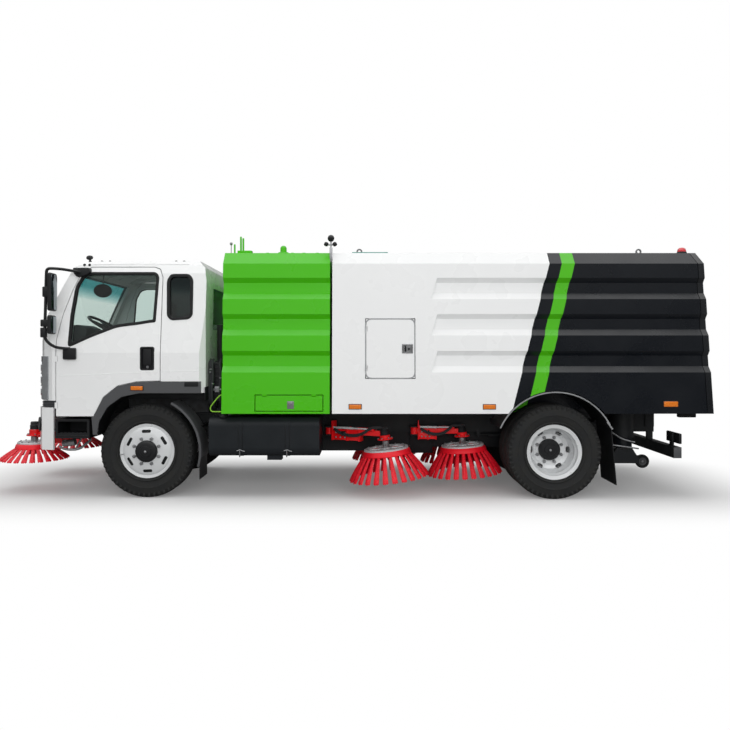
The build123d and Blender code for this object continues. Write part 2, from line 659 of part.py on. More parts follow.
def body_section(inset):
    """Closed section of the bodies, drawn in from the outside by the inset."""
    half = [(BODY_HALF - inset, BODY_BOTTOM + inset), (SHOULDER_HALF - inset, BODY_SHOULDER - inset / 2),
            (ROOF_HALF - inset / 2, BODY_TOP - inset)]
    return half + [(-y, z) for y, z in reversed(half)]


def cut_grooves(body, station_from, station_to, slant=0):
    """Press the three grooves into both sides; slant is how far their front end leans back at the top."""
    for top in GROOVE_TOPS:
        low = top - GROOVE_HEIGHT
        reach = side_outline([(station_from, low), (station_to, low), (station_to, top),
                              (station_from + slant, top)], 900, 1300)
        cutter = cross_outline(groove_outline(top), station_from, station_to) & reach
        for solid in both_sides(cutter):
            body = body - solid
    return body


def module_shell():
    """Closed green housing behind the cab, with the opening of its lower hatch."""
    body = cross_outline(body_section(0), MODULE_FRONT, MODULE_REAR)
    body = cut_grooves(body, MODULE_FRONT - 5, MODULE_REAR + 5)
    cavity = cross_outline(body_section(BODY_WALL), MODULE_FRONT + BODY_WALL, MODULE_REAR - BODY_WALL)
    body = body - cavity
    opening = side_outline(hatch_outline(HATCH_GAP), 1000, 1200)
    legs = [block((station - 40, station + 40), (side * 345, side * RAIL_Y), (RAIL_TOP, BODY_BOTTOM))
            for station in (900, 1800) for side in (-1, 1)]
    mounts = [block((1080 + 560 * index, 1140 + 560 * index), (-400, 400),
                    (BODY_BOTTOM + BODY_WALL - 1, 960)) for index in range(2)]
    lugs, _ = hatch_hinges()
    return joined([body - opening, *legs, *mounts, *lugs])


def concealed_hinges(places, along, reach, half):
    """Fixed hinge lugs and the notches that they turn in.

    places are points of the hinge line, along its direction, and reach is the way from the line to the
    frame that carries the lugs. Returns the lugs and the cutters of the notches.
    """
    lugs, notches = [], []
    along = Vector(*along).normalized()
    for station, y, height in places:
        centre = Vector(at(station), y, height)
        plane = Plane(origin=centre, x_dir=Vector(*reach), z_dir=along)
        knuckle = Cylinder(HINGE_RADIUS, 2 * half)
        arm_length = Vector(*reach).length
        arm = Pos(arm_length / 2, 0, 0) * Box(arm_length, 2 * HINGE_RADIUS, 2 * half)
        lugs.append(plane * (knuckle + arm))
        notches.append(plane * Cylinder(HINGE_NOTCH, 2 * (half + FLAT_GAP)))
    return lugs, notches


def hatch_hinges():
    """Lugs and notches of the module's lower hatch, on a line just inside its top edge."""
    front, rear, _, high = HATCH
    height = high - HINGE_INSET
    places = [(station, side_y(height) - HINGE_RADIUS - 1, height) for station in (front + 90, rear - 90)]
    return concealed_hinges(places, (1, 0, 0), (0, 0, HINGE_INSET + HATCH_GAP + 4), 22)


def access_hinges():
    """Lugs and notches of the tank's access door, on a leaning line just inside its front edge."""
    station = access_outline(0)[0][0] + HINGE_INSET
    places = [(station, side_y(height) - HINGE_RADIUS - 1, height) for height in (1345, 1745)]
    slant = (BODY_HALF - SHOULDER_HALF) / (BODY_SHOULDER - BODY_BOTTOM)
    return concealed_hinges(places, (0, -slant, 1), (HINGE_INSET + DOOR_GAP + 4, 0, 0), 25)


def door_hinges():
    """Lugs and notches of the left door, on an upright line just inside its front edge."""
    station, y = DOOR_HINGE
    places = [(station, y, height) for height in (960, 1440)]
    reach = station - DOOR_OUTLINE[0][0] + DOOR_GAP + 8
    return concealed_hinges(places, (0, 0, 1), (reach, 0, 0), 30)


def hatch_outline(grow):
    """Outline of the module's lower hatch, grown by a gap."""
    front, rear, low, high = HATCH
    return [(front - grow, low - grow), (rear + grow, low - grow), (rear + grow, high + grow),
            (front - grow, high + grow)]


def module_hatch():
    """Lower hatch of the module's left side, hinged along its top edge."""
    front, rear, low, high = HATCH
    leaf = side_outline([(front, low), (rear, low), (rear, high), (front, high)],
                        side_y(high) - 32, BODY_HALF + 5) & cross_outline(
        [(side_y(low) - 40, low), (side_y(low), low), (side_y(high), high), (side_y(high) - 40, high)],
        front - 5, rear + 5)
    _, notches = hatch_hinges()
    for notch in notches:
        leaf = leaf - notch
    return leaf


def module_fittings():
    """Mast with its lamps, roof posts, exhaust dome and the wire guard beside the cab gap."""
    station = MODULE_REAR + MAST_RADIUS + FLAT_GAP
    y = SHOULDER_HALF - 50
    mast = rod((station, y, BODY_SHOULDER + 15), (station, y, BODY_TOP + 112), MAST_RADIUS)
    ball = turned([(0, 0), (18, 4), (32, 20), (36, 36), (32, 52), (18, 68), (0, 72)],
                  (at(station), y, BODY_TOP + 108), (0, 0, 1))
    row = ROOF_HALF - 65
    dome = turned([(0, 0), (55, 0), (55, 14), (32, 14), (32, 60), (26, 74), (12, 82), (0, 84)],
                  (at(MODULE_FRONT + 600), row, BODY_TOP), (0, 0, 1))
    flange = block((MODULE_FRONT + 124, MODULE_FRONT + 273), (row - 40, row + 40), (BODY_TOP, BODY_TOP + 30))
    posts = joined([flange, *[rod((MODULE_FRONT + place, row, BODY_TOP + 29),
                                  (MODULE_FRONT + place, row, BODY_TOP + height), 9)
                              for place, height in ((154, 180), (179, 164))]])
    stub = rod((MODULE_FRONT + 89, row, BODY_TOP), (MODULE_FRONT + 89, row, BODY_TOP + 100), 8)
    guard = bent_tube([(MODULE_FRONT - FLAT_GAP, 1100, 1075), (MODULE_FRONT - 24, 1100, 1075),
                       (MODULE_FRONT - 120, 1100, 950), (MODULE_FRONT - 110, 1100, 902),
                       (MODULE_FRONT - FLAT_GAP, 1100, 902)], 6, 8)
    return joined([mast, ball]), dome, posts, stub, guard


def tank_side(rear_inset, extra):
    """Side view of the tank ahead of its tail, the tail drawn in by rear_inset."""
    return [(TANK_FRONT + extra, BODY_BOTTOM - 10), (TANK_REAR - rear_inset, BODY_BOTTOM - 10),
            (TANK_REAR - rear_inset, BODY_BOTTOM), (SHOULDER_REAR - rear_inset, BODY_SHOULDER),
            (ROOF_REAR - rear_inset, BODY_TOP), (ROOF_REAR - rear_inset, BODY_TOP + 10),
            (TANK_FRONT + extra, BODY_TOP + 10)]


def tank_solid():
    """Outer form of the tank and its tail door together."""
    body = cross_outline(body_section(0), TANK_FRONT, TANK_REAR + 5)
    return cut_grooves(body, GROOVE_START, TANK_REAR + 10, GROOVE_SLANT)


def tank_shell(solid):
    """Tank walls, roof, floor and bulkhead, with its arches, access opening and hinge lugs."""
    shell = solid & side_outline(tank_side(TAIL_DOOR_THICKNESS + SEAL_GAP, 0), -1300, 1300)
    fan_room = cross_outline(body_section(BODY_WALL), TANK_FRONT + BODY_WALL, BULKHEAD[0])
    hopper = cross_outline(body_section(BODY_WALL), BULKHEAD[1], TANK_REAR)
    shell = shell - fan_room - hopper
    # wheel arches, boxed in where they rise through the floor
    for side in (-1, 1):
        outer = BODY_HALF - 30
        box = rod((WHEELBASE, side * 520, TYRE_RADIUS), (WHEELBASE, side * outer, TYRE_RADIUS),
                  ARCH_RADIUS + 30)
        box = box & block((WHEELBASE - 800, WHEELBASE + 800), (side * 520, side * outer),
                          (BODY_BOTTOM + 1, BODY_TOP))
        shell = shell + box
    for side in (-1, 1):
        arch = rod((WHEELBASE, side * 545, TYRE_RADIUS), (WHEELBASE, side * 1300, TYRE_RADIUS), ARCH_RADIUS)
        shell = shell - arch
    shell = shell - side_outline(access_outline(DOOR_GAP), 900, 1300)
    runners = [block((TANK_FRONT + 40, TANK_PIVOT[0] - 60), (side * 345, side * (RAIL_Y - 5)),
                     (RAIL_TOP + SEAL_GAP, BODY_BOTTOM + 1)) for side in (-1, 1)]
    lugs = []
    station, height = TANK_PIVOT
    for side in (-1, 1):
        inner = RAIL_Y + 26
        lug = block((station - 34, station + 34), (side * inner, side * (inner + 22)),
                    (height, BODY_BOTTOM + 1))
        lug = lug + rod((station, side * inner, height), (station, side * (inner + 22), height), 34)
        lug = lug - rod((station, side * 400, height), (station, side * 500, height), 18 + RUNNING_FIT)
        lugs.append(lug)
    eye_station, eye_height = CYLINDER_EYE
    for y in (-CYLINDER_Y, CYLINDER_Y):
        for side in (-1, 1):
            inner = y + side * 40
            lugs.append(block((eye_station - 35, eye_station + 35), (inner, inner + side * 14),
                              (eye_height - 25, BODY_BOTTOM + 1)))
    hinge_lugs, _ = access_hinges()
    return joined([shell, *runners, *lugs, *roof_hinges("tank"), *hinge_lugs])


def tail_hinge():
    """Station and height of the tail door's hinge line."""
    return ROOF_REAR - TAIL_DOOR_THICKNESS - SEAL_GAP / 2, BODY_TOP + 14


def roof_hinges(piece):
    """Hinge straps and knuckles of the tail door on the roof, for the tank or for the door."""
    station, height = tail_hinge()
    parts = []
    for y in (-700, -250, 250, 700):
        if piece == "tank":
            ys = (y, y + 40)
            strap = block((station - 130, station - 8), ys, (BODY_TOP, height - 2))
            parts += [strap, block((station - 10, station), ys, (height - 8, height + 8))]
        else:
            ys = (y + 40 + FLAT_GAP, y + 80)
            strap = block((station + 8, station + 70), ys, (BODY_TOP, height - 2))
            parts += [strap, block((station, station + 10), ys, (height - 8, height + 8))]
        parts.append(rod((station, ys[0], height), (station, ys[1], height), 11))
    return parts


def access_outline(grow):
    """Outline of the access door in the tank's left side, grown by a gap."""
    front, rear, low, high = 2270, 2765, 1245, 1845
    return [(front - grow, low - grow), (rear + grow, low - grow), (rear + grow, high + grow),
            (front - grow, high + grow)]


def access_door():
    """Access door of the tank's left side, its leaf as deep as the wall's frame."""
    slab = side_outline(access_outline(0), 900, 1300)
    leaf = slab & cross_outline([(side_y(1200) - 30, 1200), (side_y(1200), 1200), (side_y(1900), 1900),
                                 (side_y(1900) - 30, 1900)], 2000, 3000)
    _, notches = access_hinges()
    for notch in notches:
        leaf = leaf - notch
    return leaf


def tail_door(solid):
    """Door that closes the tank's whole rear end."""
    inset = TAIL_DOOR_THICKNESS
    outline = [(TANK_REAR - inset, BODY_BOTTOM - 10), (TANK_REAR, BODY_BOTTOM - 10), (TANK_REAR, BODY_BOTTOM),
               (SHOULDER_REAR, BODY_SHOULDER), (ROOF_REAR, BODY_TOP), (ROOF_REAR, BODY_TOP + 10),
               (ROOF_REAR - inset, BODY_TOP + 10), (ROOF_REAR - inset, BODY_TOP),
               (SHOULDER_REAR - inset, BODY_SHOULDER), (TANK_REAR - inset, BODY_BOTTOM)]
    door = solid & side_outline(outline, -1300, 1300)
    return joined([door, *roof_hinges("door")])


def tank_fittings():
    """Roof hood, lifting eyes and beacon of the tank, and the buffer under its tail."""
    hood = side_outline([(3020, BODY_TOP), (3440, BODY_TOP), (3400, BODY_TOP + 85), (3150, BODY_TOP + 85)],
                        -350, 350)
    eyes = []
    for station in (TANK_FRONT + 274, TANK_REAR - 629):
        for y in (155 - ROOF_HALF, ROOF_HALF - 155):
            eye = rod((station, y - 8, BODY_TOP + 30), (station, y + 8, BODY_TOP + 30), 30)
            eye = eye + block((station - 30, station + 30), (y - 8, y + 8), (BODY_TOP, BODY_TOP + 30))
            eyes.append(eye - rod((station, y - 20, BODY_TOP + 34), (station, y + 20, BODY_TOP + 34), 16))
    beacon = turned([(0, 0), (46, 0), (46, 18), (39, 48), (24, 60), (0, 64)],
                    (at(TANK_REAR - 217), ROOF_HALF - 50, BODY_TOP), (0, 0, 1))
    buffer = block((TANK_REAR - 269, TANK_REAR - 89), (900, 960), (BODY_BOTTOM - 55, BODY_BOTTOM))
    return hood, *eyes, beacon, *both_sides(buffer)


# ---------------------------------------------------------------- tip cylinders
def cylinder_axis():
    """Length and slope of a tip cylinder from its base to its eye, seen from the side."""
    run = CYLINDER_BASE[0] - CYLINDER_EYE[0]
    rise = CYLINDER_EYE[1] - CYLINDER_BASE[1]
    return hypot(run, rise), atan2(rise, run)


def along_cylinder(distance, y):
    """(station, y, height) point at a distance from a tip cylinder's base."""
    slope = cylinder_axis()[1]
    return (CYLINDER_BASE[0] - distance * cos(slope), y, CYLINDER_BASE[1] + distance * sin(slope))


def tip_barrels():
    """Barrels of the two tip cylinders, each turning on the frame's cross tube."""
    barrels = []
    for y in (-CYLINDER_Y, CYLINDER_Y):
        eye = rod((CYLINDER_BASE[0], y - 45, CYLINDER_BASE[1]), (CYLINDER_BASE[0], y + 45, CYLINDER_BASE[1]), 52)
        tube = rod(along_cylinder(30, y), along_cylinder(BARREL_LENGTH, y), BARREL_RADIUS)
        barrel = eye + tube
        barrel = barrel - rod((CYLINDER_BASE[0], y - 60, CYLINDER_BASE[1]),
                              (CYLINDER_BASE[0], y + 60, CYLINDER_BASE[1]), 30 + RUNNING_FIT)
        barrels.append(barrel - rod(along_cylinder(100, y), along_cylinder(BARREL_LENGTH + 10, y),
                                    ROD_RADIUS + RUNNING_FIT))
    return barrels


def tip_rods():
    """Rods of the two tip cylinders with their eyes between the tank's lugs."""
    length = cylinder_axis()[0]
    rods = []
    for y in (-CYLINDER_Y, CYLINDER_Y):
        stem = rod(along_cylinder(130, y), along_cylinder(length, y), ROD_RADIUS)
        eye = rod((CYLINDER_EYE[0], y - 32, CYLINDER_EYE[1]), (CYLINDER_EYE[0], y + 32, CYLINDER_EYE[1]), 28)
        rods.append(stem + eye)
    return rods


# ---------------------------------------------------------------- brushes
def brush(spec):
    """Left brush: head plate, ring and flaring tufts, whose tips lie on the tip radius."""
    station, y, ring_height, tip_radius, ring_radius, fall, tilt = spec
    head = turned([(0, 0), (70, 0), (ring_radius - 50, -30), (ring_radius, -30), (ring_radius, -62),
                   (ring_radius - 50, -62), (60, -34), (0, -34)], (0, 0, 0), (0, 0, 1))
    root_radius = ring_radius - 34
    root_height = 40
    spread = tip_radius - TUFT_THICKNESS - root_radius
    drop = fall - root_height
    length = hypot(spread, drop)
    narrow = pi * root_radius / TUFTS * 0.82
    wide = pi * tip_radius / TUFTS * 0.78
    outline = [(-narrow, 0), (narrow, 0), (wide, -length), (-wide, -length)]
    tuft = extruded([(0, across, up) for across, up in outline], (TUFT_THICKNESS, 0, 0))
    tuft = Pos(root_radius, 0, -root_height) * Rot(0, -degrees(atan2(spread, drop)), 0) * tuft
    tufts = [Rot(0, 0, 360 * index / TUFTS) * tuft for index in range(TUFTS)]
    return Pos(at(station), y, ring_height) * Rot(0, tilt, 0) * joined([head, *tufts])


def brush_arm(spec, pivot, fork, plate_rise):
    """Swing arm of a left brush: bush on the pivot pin, beam, motor plate and motor."""
    station, y, ring_height, _, _, _, tilt = spec
    pivot_station, pivot_y = pivot
    fork_low, fork_high = fork
    bush = rod((pivot_station, pivot_y, fork_low + FLAT_GAP), (pivot_station, pivot_y, fork_high - FLAT_GAP), 40)
    length = hypot(station - pivot_station, y - pivot_y)
    across = (-(y - pivot_y) / length * 26, (station - pivot_station) / length * 26)
    beam = plan_outline([(pivot_station + across[0], pivot_y + across[1]), (station + across[0], y + across[1]),
                         (station - across[0], y - across[1]),
                         (pivot_station - across[0], pivot_y - across[1])],
                        fork_low + 12, fork_high - 12)
    beam = beam - rod((station, y, ring_height), (station, y, ring_height + 400), 58)
    motor = turned([(0, FLAT_GAP), (34, FLAT_GAP), (34, plate_rise), (84, plate_rise), (84, plate_rise + 16), (60, plate_rise + 16),
                    (60, 200), (50, 215), (0, 215)], (0, 0, 0), (0, 0, 1))
    motor = Pos(at(station), y, ring_height) * Rot(0, tilt, 0) * motor
    pin_hole = rod((pivot_station, pivot_y, fork_low - 10), (pivot_station, pivot_y, fork_high + 10),
                   ARM_PIN_RADIUS + RUNNING_FIT)
    return joined([bush, beam, motor]) - pin_hole


# ---------------------------------------------------------------- suction nozzle
def suction_nozzle():
    """Wide hood with two upright ducts that slide in the frame's sleeves."""
    front, rear = NOZZLE_FRONT, NOZZLE_REAR
    top = NOZZLE_BOTTOM + NOZZLE_HEIGHT
    hood = side_outline([(front, NOZZLE_BOTTOM), (rear, NOZZLE_BOTTOM), (rear, NOZZLE_BOTTOM + 60),
                         (rear - 70, top), (front + 70, top), (front, NOZZLE_BOTTOM + 60)],
                        -NOZZLE_HALF, NOZZLE_HALF)
    hollow = side_outline([(front + 10, NOZZLE_BOTTOM - 5), (rear - 10, NOZZLE_BOTTOM - 5),
                           (rear - 10, NOZZLE_BOTTOM + 56), (rear - 74, top - 8), (front + 74, top - 8),
                           (front + 10, NOZZLE_BOTTOM + 56)], -NOZZLE_HALF + 10, NOZZLE_HALF - 10)
    hood = hood - hollow
    station = (front + rear) / 2
    ducts = []
    for side in (-1, 1):
        bore = DUCT_RADIUS - DUCT_WALL
        hood = hood - rod((station, side * DUCT_Y, top - 20), (station, side * DUCT_Y, top + 20), bore)
        ducts.append(turned([(bore, 0), (DUCT_RADIUS, 0), (DUCT_RADIUS, DUCT_LENGTH), (bore, DUCT_LENGTH)],
                            (at(station), side * DUCT_Y, top), (0, 0, 1)))
    axle_height = NOZZLE_BOTTOM + 5
    for side in (-1, 1):
        hood = hood + block((rear - 10, rear + 115), (side * 460, side * 470),
                            (axle_height - 30, axle_height + 60))
    hood = hood - rod((rear + 85, -600, axle_height), (rear + 85, 600, axle_height), 12 + RUNNING_FIT)
    return [hood, *ducts]


def nozzle_wheels():
    """Support wheels of the nozzle on one axle."""
    station = NOZZLE_REAR + 85
    height = NOZZLE_BOTTOM + 5
    parts = [rod((station, -520, height), (station, 520, height), 12)]
    for side in (-1, 1):
        parts.append(rod((station, side * 476, height), (station, side * 526, height), CASTOR_RADIUS))
    return joined(parts)


# ---------------------------------------------------------------- cab
def cab_side_profile(inset):
    """Side view of the cab, drawn in by the inset."""
    front = -1190 + inset
    nose = -1180 + inset
    return [(front + 5, CAB_FLOOR + inset), (front, 1120), (nose, 1440), (nose + 90, 1736),
            (nose + 190, 1960), (nose + 330, 2250), (nose + 410, 2400 - inset / 2),
            (nose + 520, CAB_ROOF - 18 - inset), (nose + 700, CAB_ROOF - inset),
            (CAB_REAR - 110, CAB_ROOF - inset), (CAB_REAR - 20 - inset, CAB_ROOF - 90),
            (CAB_REAR - inset, 2250), (CAB_REAR - inset, CAB_FLOOR + inset)]


def cab_cross_profile(inset):
    """Front view of the cab: upright to the belt line, then leaning in to the roof."""
    half = CAB_HALF - inset
    right = [(half, 600), (half, CAB_BELT), (half - CAB_LEAN, CAB_SHOULDER),
             (half - CAB_LEAN - 40, CAB_SHOULDER + 90 - inset / 2),
             (half - 250, CAB_ROOF - 8 - inset), (half - 400, CAB_ROOF + 5 - inset)]
    return right + [(-y, z) for y, z in reversed(right)]


def cab_plan_profile(inset):
    """Plan of the cab: a bowed nose, rounded front corners and small rear ones."""
    half = CAB_HALF - inset
    front = -1195 + inset
    right = [(front, 0), (front + 12, 500), (front + 35, 760), (front + 70, 880), (front + 130, 970 - inset / 2),
             (front + 240, half), (CAB_REAR - 55, half), (CAB_REAR - inset, half - 60)]
    return right + [(station, -y) for station, y in reversed(right[1:])]


def cab_body(inset):
    """Solid of the cab's outside, or of its inside when drawn in by the wall."""
    body = side_outline(cab_side_profile(inset), -1200, 1200)
    body = body & cross_outline(cab_cross_profile(inset), -1400, 900)
    return body & plan_outline(cab_plan_profile(inset), 500, 2600)


def cab_side_y(height):
    """Half width of the cab at a height."""
    lean = (height - CAB_BELT) / (CAB_SHOULDER - CAB_BELT)
    return CAB_HALF - max(0, lean) * CAB_LEAN


def grown(points, distance):
    """Closed outline of (station, height) points moved outwards by a distance."""
    wire = Wire.make_polygon([Vector(s, z, 0) for s, z in points], close=True)
    bigger = wire.offset_2d(distance, kind=Kind.INTERSECTION)
    return [(v.X, v.Y) for v in [edge.position_at(0) for edge in bigger.order_edges()]]


def window_opening(points, inward):
    """Cutter for a window in the left side, or in both sides."""
    return side_outline(points, CAB_HALF - inward, CAB_HALF + 60)


def doorway():
    """Cutter for the left door's opening: as deep as the wall at the foot, deeper where it leans."""
    outline = side_outline(grown(DOOR_OUTLINE, DOOR_GAP), CAB_HALF - 330, CAB_HALF + 60)
    foot = block((-1000, 300), (CAB_HALF - 331, CAB_HALF - CAB_WALL - SEAL_GAP), (DOOR_BOTTOM - 20, 1300))
    return outline - foot


def step_box():
    """Left step box of the cab, open at the top and to the door."""
    deep = CAB_HALF - CAB_WALL - SEAL_GAP
    box = block((-905, -488), (720, deep), (DOOR_BOTTOM - 6, CAB_FLOOR + 30))
    return box - block((-885, -508), (740, deep + 10), (DOOR_BOTTOM + 18, CAB_FLOOR + 60))


def wheelhouse():
    """Left cover over the front wheel, with the flange behind the arch trim."""
    deep = CAB_HALF - CAB_WALL - SEAL_GAP
    roof = block((-508, CAB_REAR - 3), (720, deep), (ARCH_TOP, ARCH_TOP + 20))
    front = block((-508, -488), (720, deep), (DOOR_BOTTOM - 6, ARCH_TOP + 20))
    cheek = block((-508, CAB_REAR - 3), (700, 720), (CAB_FLOOR, ARCH_TOP + 20))
    flange = side_outline(ARCH_BAND, deep - 1, CAB_HALF)
    behind_door = block((170, CAB_REAR - 3), (deep - 1, CAB_HALF - CAB_WALL + 1), (ARCH_TOP, ARCH_TOP + 20))
    return joined([roof, front, cheek, flange, behind_door])


def cab_shell():
    """Hollow cab: floor, roof, pillars and rear wall, open at doors and windows."""
    shell = cab_body(0) - cab_body(CAB_WALL)
    for side in (-1, 1):
        shell = shell - block((-490, 700), (side * 720, side * 1100), (700, ARCH_TOP))
        shell = shell - block((-885, -508), (side * 740, side * 1100), (CAB_FLOOR - 5, CAB_FLOOR + CAB_WALL + 5))
    shell = joined([shell, *both_sides(step_box()), *both_sides(wheelhouse())])
    for cutter in (doorway(), window_opening(QUARTER_WINDOW, 300)):
        for solid in both_sides(cutter):
            shell = shell - solid
    shell = shell - windscreen_opening() - rear_window_opening()
    pivots = []
    station, height = CAB_PIVOT
    for side in (-1, 1):
        arm = block((station - 25, station + 60), (side * (RAIL_Y + 20), side * (RAIL_Y + 60)),
                    (height - 28, CAB_FLOOR + CAB_WALL))
        pivots.append(arm - rod((station, side * 300, height), (station, side * 600, height),
                                CAB_PIN_RADIUS + RUNNING_FIT))
    lugs, _ = door_hinges()
    for lug in lugs:
        pivots.extend(both_sides(lug))
    return joined([shell, *pivots])


def windscreen_opening():
    """Cutter through the cab's nose between the pillars."""
    corners = [(-830, 1560), (830, 1560), (770, 2330), (-770, 2330)]
    return cross_outline(corners, -1400, -620)


def rear_window_opening():
    """Cutter through the cab's rear wall."""
    return cross_outline([(-620, 1750), (620, 1750), (600, 2200), (-600, 2200)], CAB_REAR - 200, CAB_REAR + 50)


def pane(opening):
    """Glass set a little inside the cab's outer skin within an opening."""
    skin = cab_body(14) - cab_body(14 + GLASS)
    return skin & opening


def cab_glass():
    """Windscreen, quarter windows and rear window."""
    panes = [pane(windscreen_opening() & block((-1400, -600), (-1100, 1100), (1500, 2400))),
             pane(rear_window_opening())]
    quarter = window_opening(QUARTER_WINDOW, 200)
    panes += both_sides(pane(quarter))
    return panes


def door():
    """Left door: a slice of the cab's side with its window cut out."""
    skin = block((-1000, 200), (CAB_HALF - CAB_WALL, CAB_HALF), (DOOR_BOTTOM - 20, CAB_FLOOR + CAB_WALL + 2))
    wall = cab_body(0) - cab_body(CAB_WALL) - block((-1000, 200), (0, CAB_HALF - CAB_WALL),
                                                    (CAB_FLOOR - 5, CAB_FLOOR + CAB_WALL + 2))
    leaf = (wall + skin) & side_outline(DOOR_OUTLINE, 700, CAB_HALF + 60)
    _, notches = door_hinges()
    front, rear, low, high = HANDLE
    pocket = block((front, rear), (CAB_HALF - 26, CAB_HALF + 10), (low, high))
    grip = block((front + 30, rear - 30), (CAB_HALF - 30, CAB_HALF - 6), (high - 90, high - 20))
    leaf = leaf - window_opening(DOOR_WINDOW, 300) - (pocket - grip)
    for notch in notches:
        leaf = leaf - notch
    return leaf


def door_glass():
    """Window of the left door."""
    return pane(window_opening(DOOR_WINDOW, 300))


def mirror_arm():
    """Left mirrors on their bent bracket, fastened to the door at its top and at its belt."""
    reach = CAB_HALF + 165
    top_y = cab_side_y(2270) + FLAT_GAP
    tube = bent_tube([(-610, top_y + 25, 2300), (-800, reach, 2350), (-958, reach, 2345),
                      (-985, reach, 2200), (-985, reach, 1720), (-905, reach, 1580),
                      (-780, CAB_HALF + 22, 1545)], 11, 24)
    base = block((-830, -700), (CAB_HALF + FLAT_GAP, CAB_HALF + 45), (1430, 1550))
    top = block((-650, -560), (top_y, top_y + 45), (2270, 2330))
    main = block((-960, -900), (reach - 85, reach + 65), (1930, 2310))
    wide = block((-965, -905), (reach - 85, reach + 55), (1690, 1890))
    return joined([tube, base, top, main, wide, block((-990, -955), (reach - 12, reach + 12), (2080, 2140)),
                   block((-990, -960), (reach - 12, reach + 12), (1760, 1820))])


def cab_trim():
    """Dark wheel-arch trims, the grille in the nose and the valance below it."""
    trim = side_outline(ARCH_BAND, CAB_HALF + FLAT_GAP, CAB_HALF + 12)
    trim = trim - side_outline(grown(DOOR_OUTLINE, DOOR_GAP), CAB_HALF - 10, CAB_HALF + 60)
    grille = cab_body(-8) & block((-1300, -1050), (-640, 640), (1070, 1400))
    grille = grille - cab_body(-FLAT_GAP)
    for row in range(4):
        grille = grille - block((-1300, -1050), (-590, 590), (1096 + 76 * row, 1130 + 76 * row))
    valance = block((-1160, -1148), (-380, 380), (960, CAB_FLOOR - FLAT_GAP))
    corner = block((-1060, -925), (995, 1010), (946, CAB_FLOOR - FLAT_GAP))
    return [*both_sides(trim), grille, valance, *both_sides(corner)]


def headlamps():
    """Tall headlamps wrapped round the nose's corners."""
    lamp = cab_body(-12) - cab_body(-FLAT_GAP)
    zone = cross_outline([(720, 1024), (1100, 1012), (1100, 1465), (880, 1465)], -1300, -1005)
    return both_sides(lamp & zone)


def cab_interior():
    """Seats, dashboard, steering column and wheel."""
    seats = []
    for y in (-DRIVER_Y, DRIVER_Y):
        cushion = block((-480, 20), (y - 250, y + 250), (1260, 1400))
        back = side_outline([(-20, 1380), (120, 1380), (200, 2050), (80, 2050)], y - 240, y + 240)
        pedestal = block((-400, -40), (y - 130, y + 130), (CAB_FLOOR + CAB_WALL, 1262))
        seats.append(joined([cushion, back, pedestal]))
    dash = side_outline([(-1110, 1150), (-880, 1150), (-780, 1400), (-800, 1500), (-1060, 1540), (-1112, 1500)],
                        -880, 880) & cab_body(CAB_WALL + FLAT_GAP)
    hood = side_outline([(-1000, 1490), (-975, 1720), (-900, 1790), (-790, 1805), (-690, 1760), (-690, 1700),
                         (-790, 1480)], DRIVER_Y - 230, DRIVER_Y + 230)
    station, height = STEERING_WHEEL
    place = Pos(at(station), DRIVER_Y, height) * Rot(0, -30, 0)
    ring = place * Torus(215, 14)
    spoke = place * Box(24, 420, 14)
    column = rod((station - 215, DRIVER_Y, height - 372), (station - 1, DRIVER_Y, height - 2), 26)
    dash = dash + hood - rod((station - 245, DRIVER_Y, height - 424), (station, DRIVER_Y, height), 26 + FLAT_GAP)
    tunnel = block((-700, 300), (-230, 230), (CAB_FLOOR + CAB_WALL, 1180))
    return [*seats, dash, joined([column, spoke, ring]), tunnel]


def intake_stack():
    """Air cleaner and its riser, which stand on the lock bridge behind the cab."""
    station = 715
    foot = block((LOCK_BRIDGE[1] + FLAT_GAP, 745), (330, 745), (LOCK_HEIGHTS[0], LOCK_HEIGHTS[1]))
    can = rod((station, 300, 1350), (station, 760, 1350), 75)
    riser = rod((station, 700, LOCK_HEIGHTS[0]), (station, 700, 1800), 45)
    return joined([foot, can, riser])


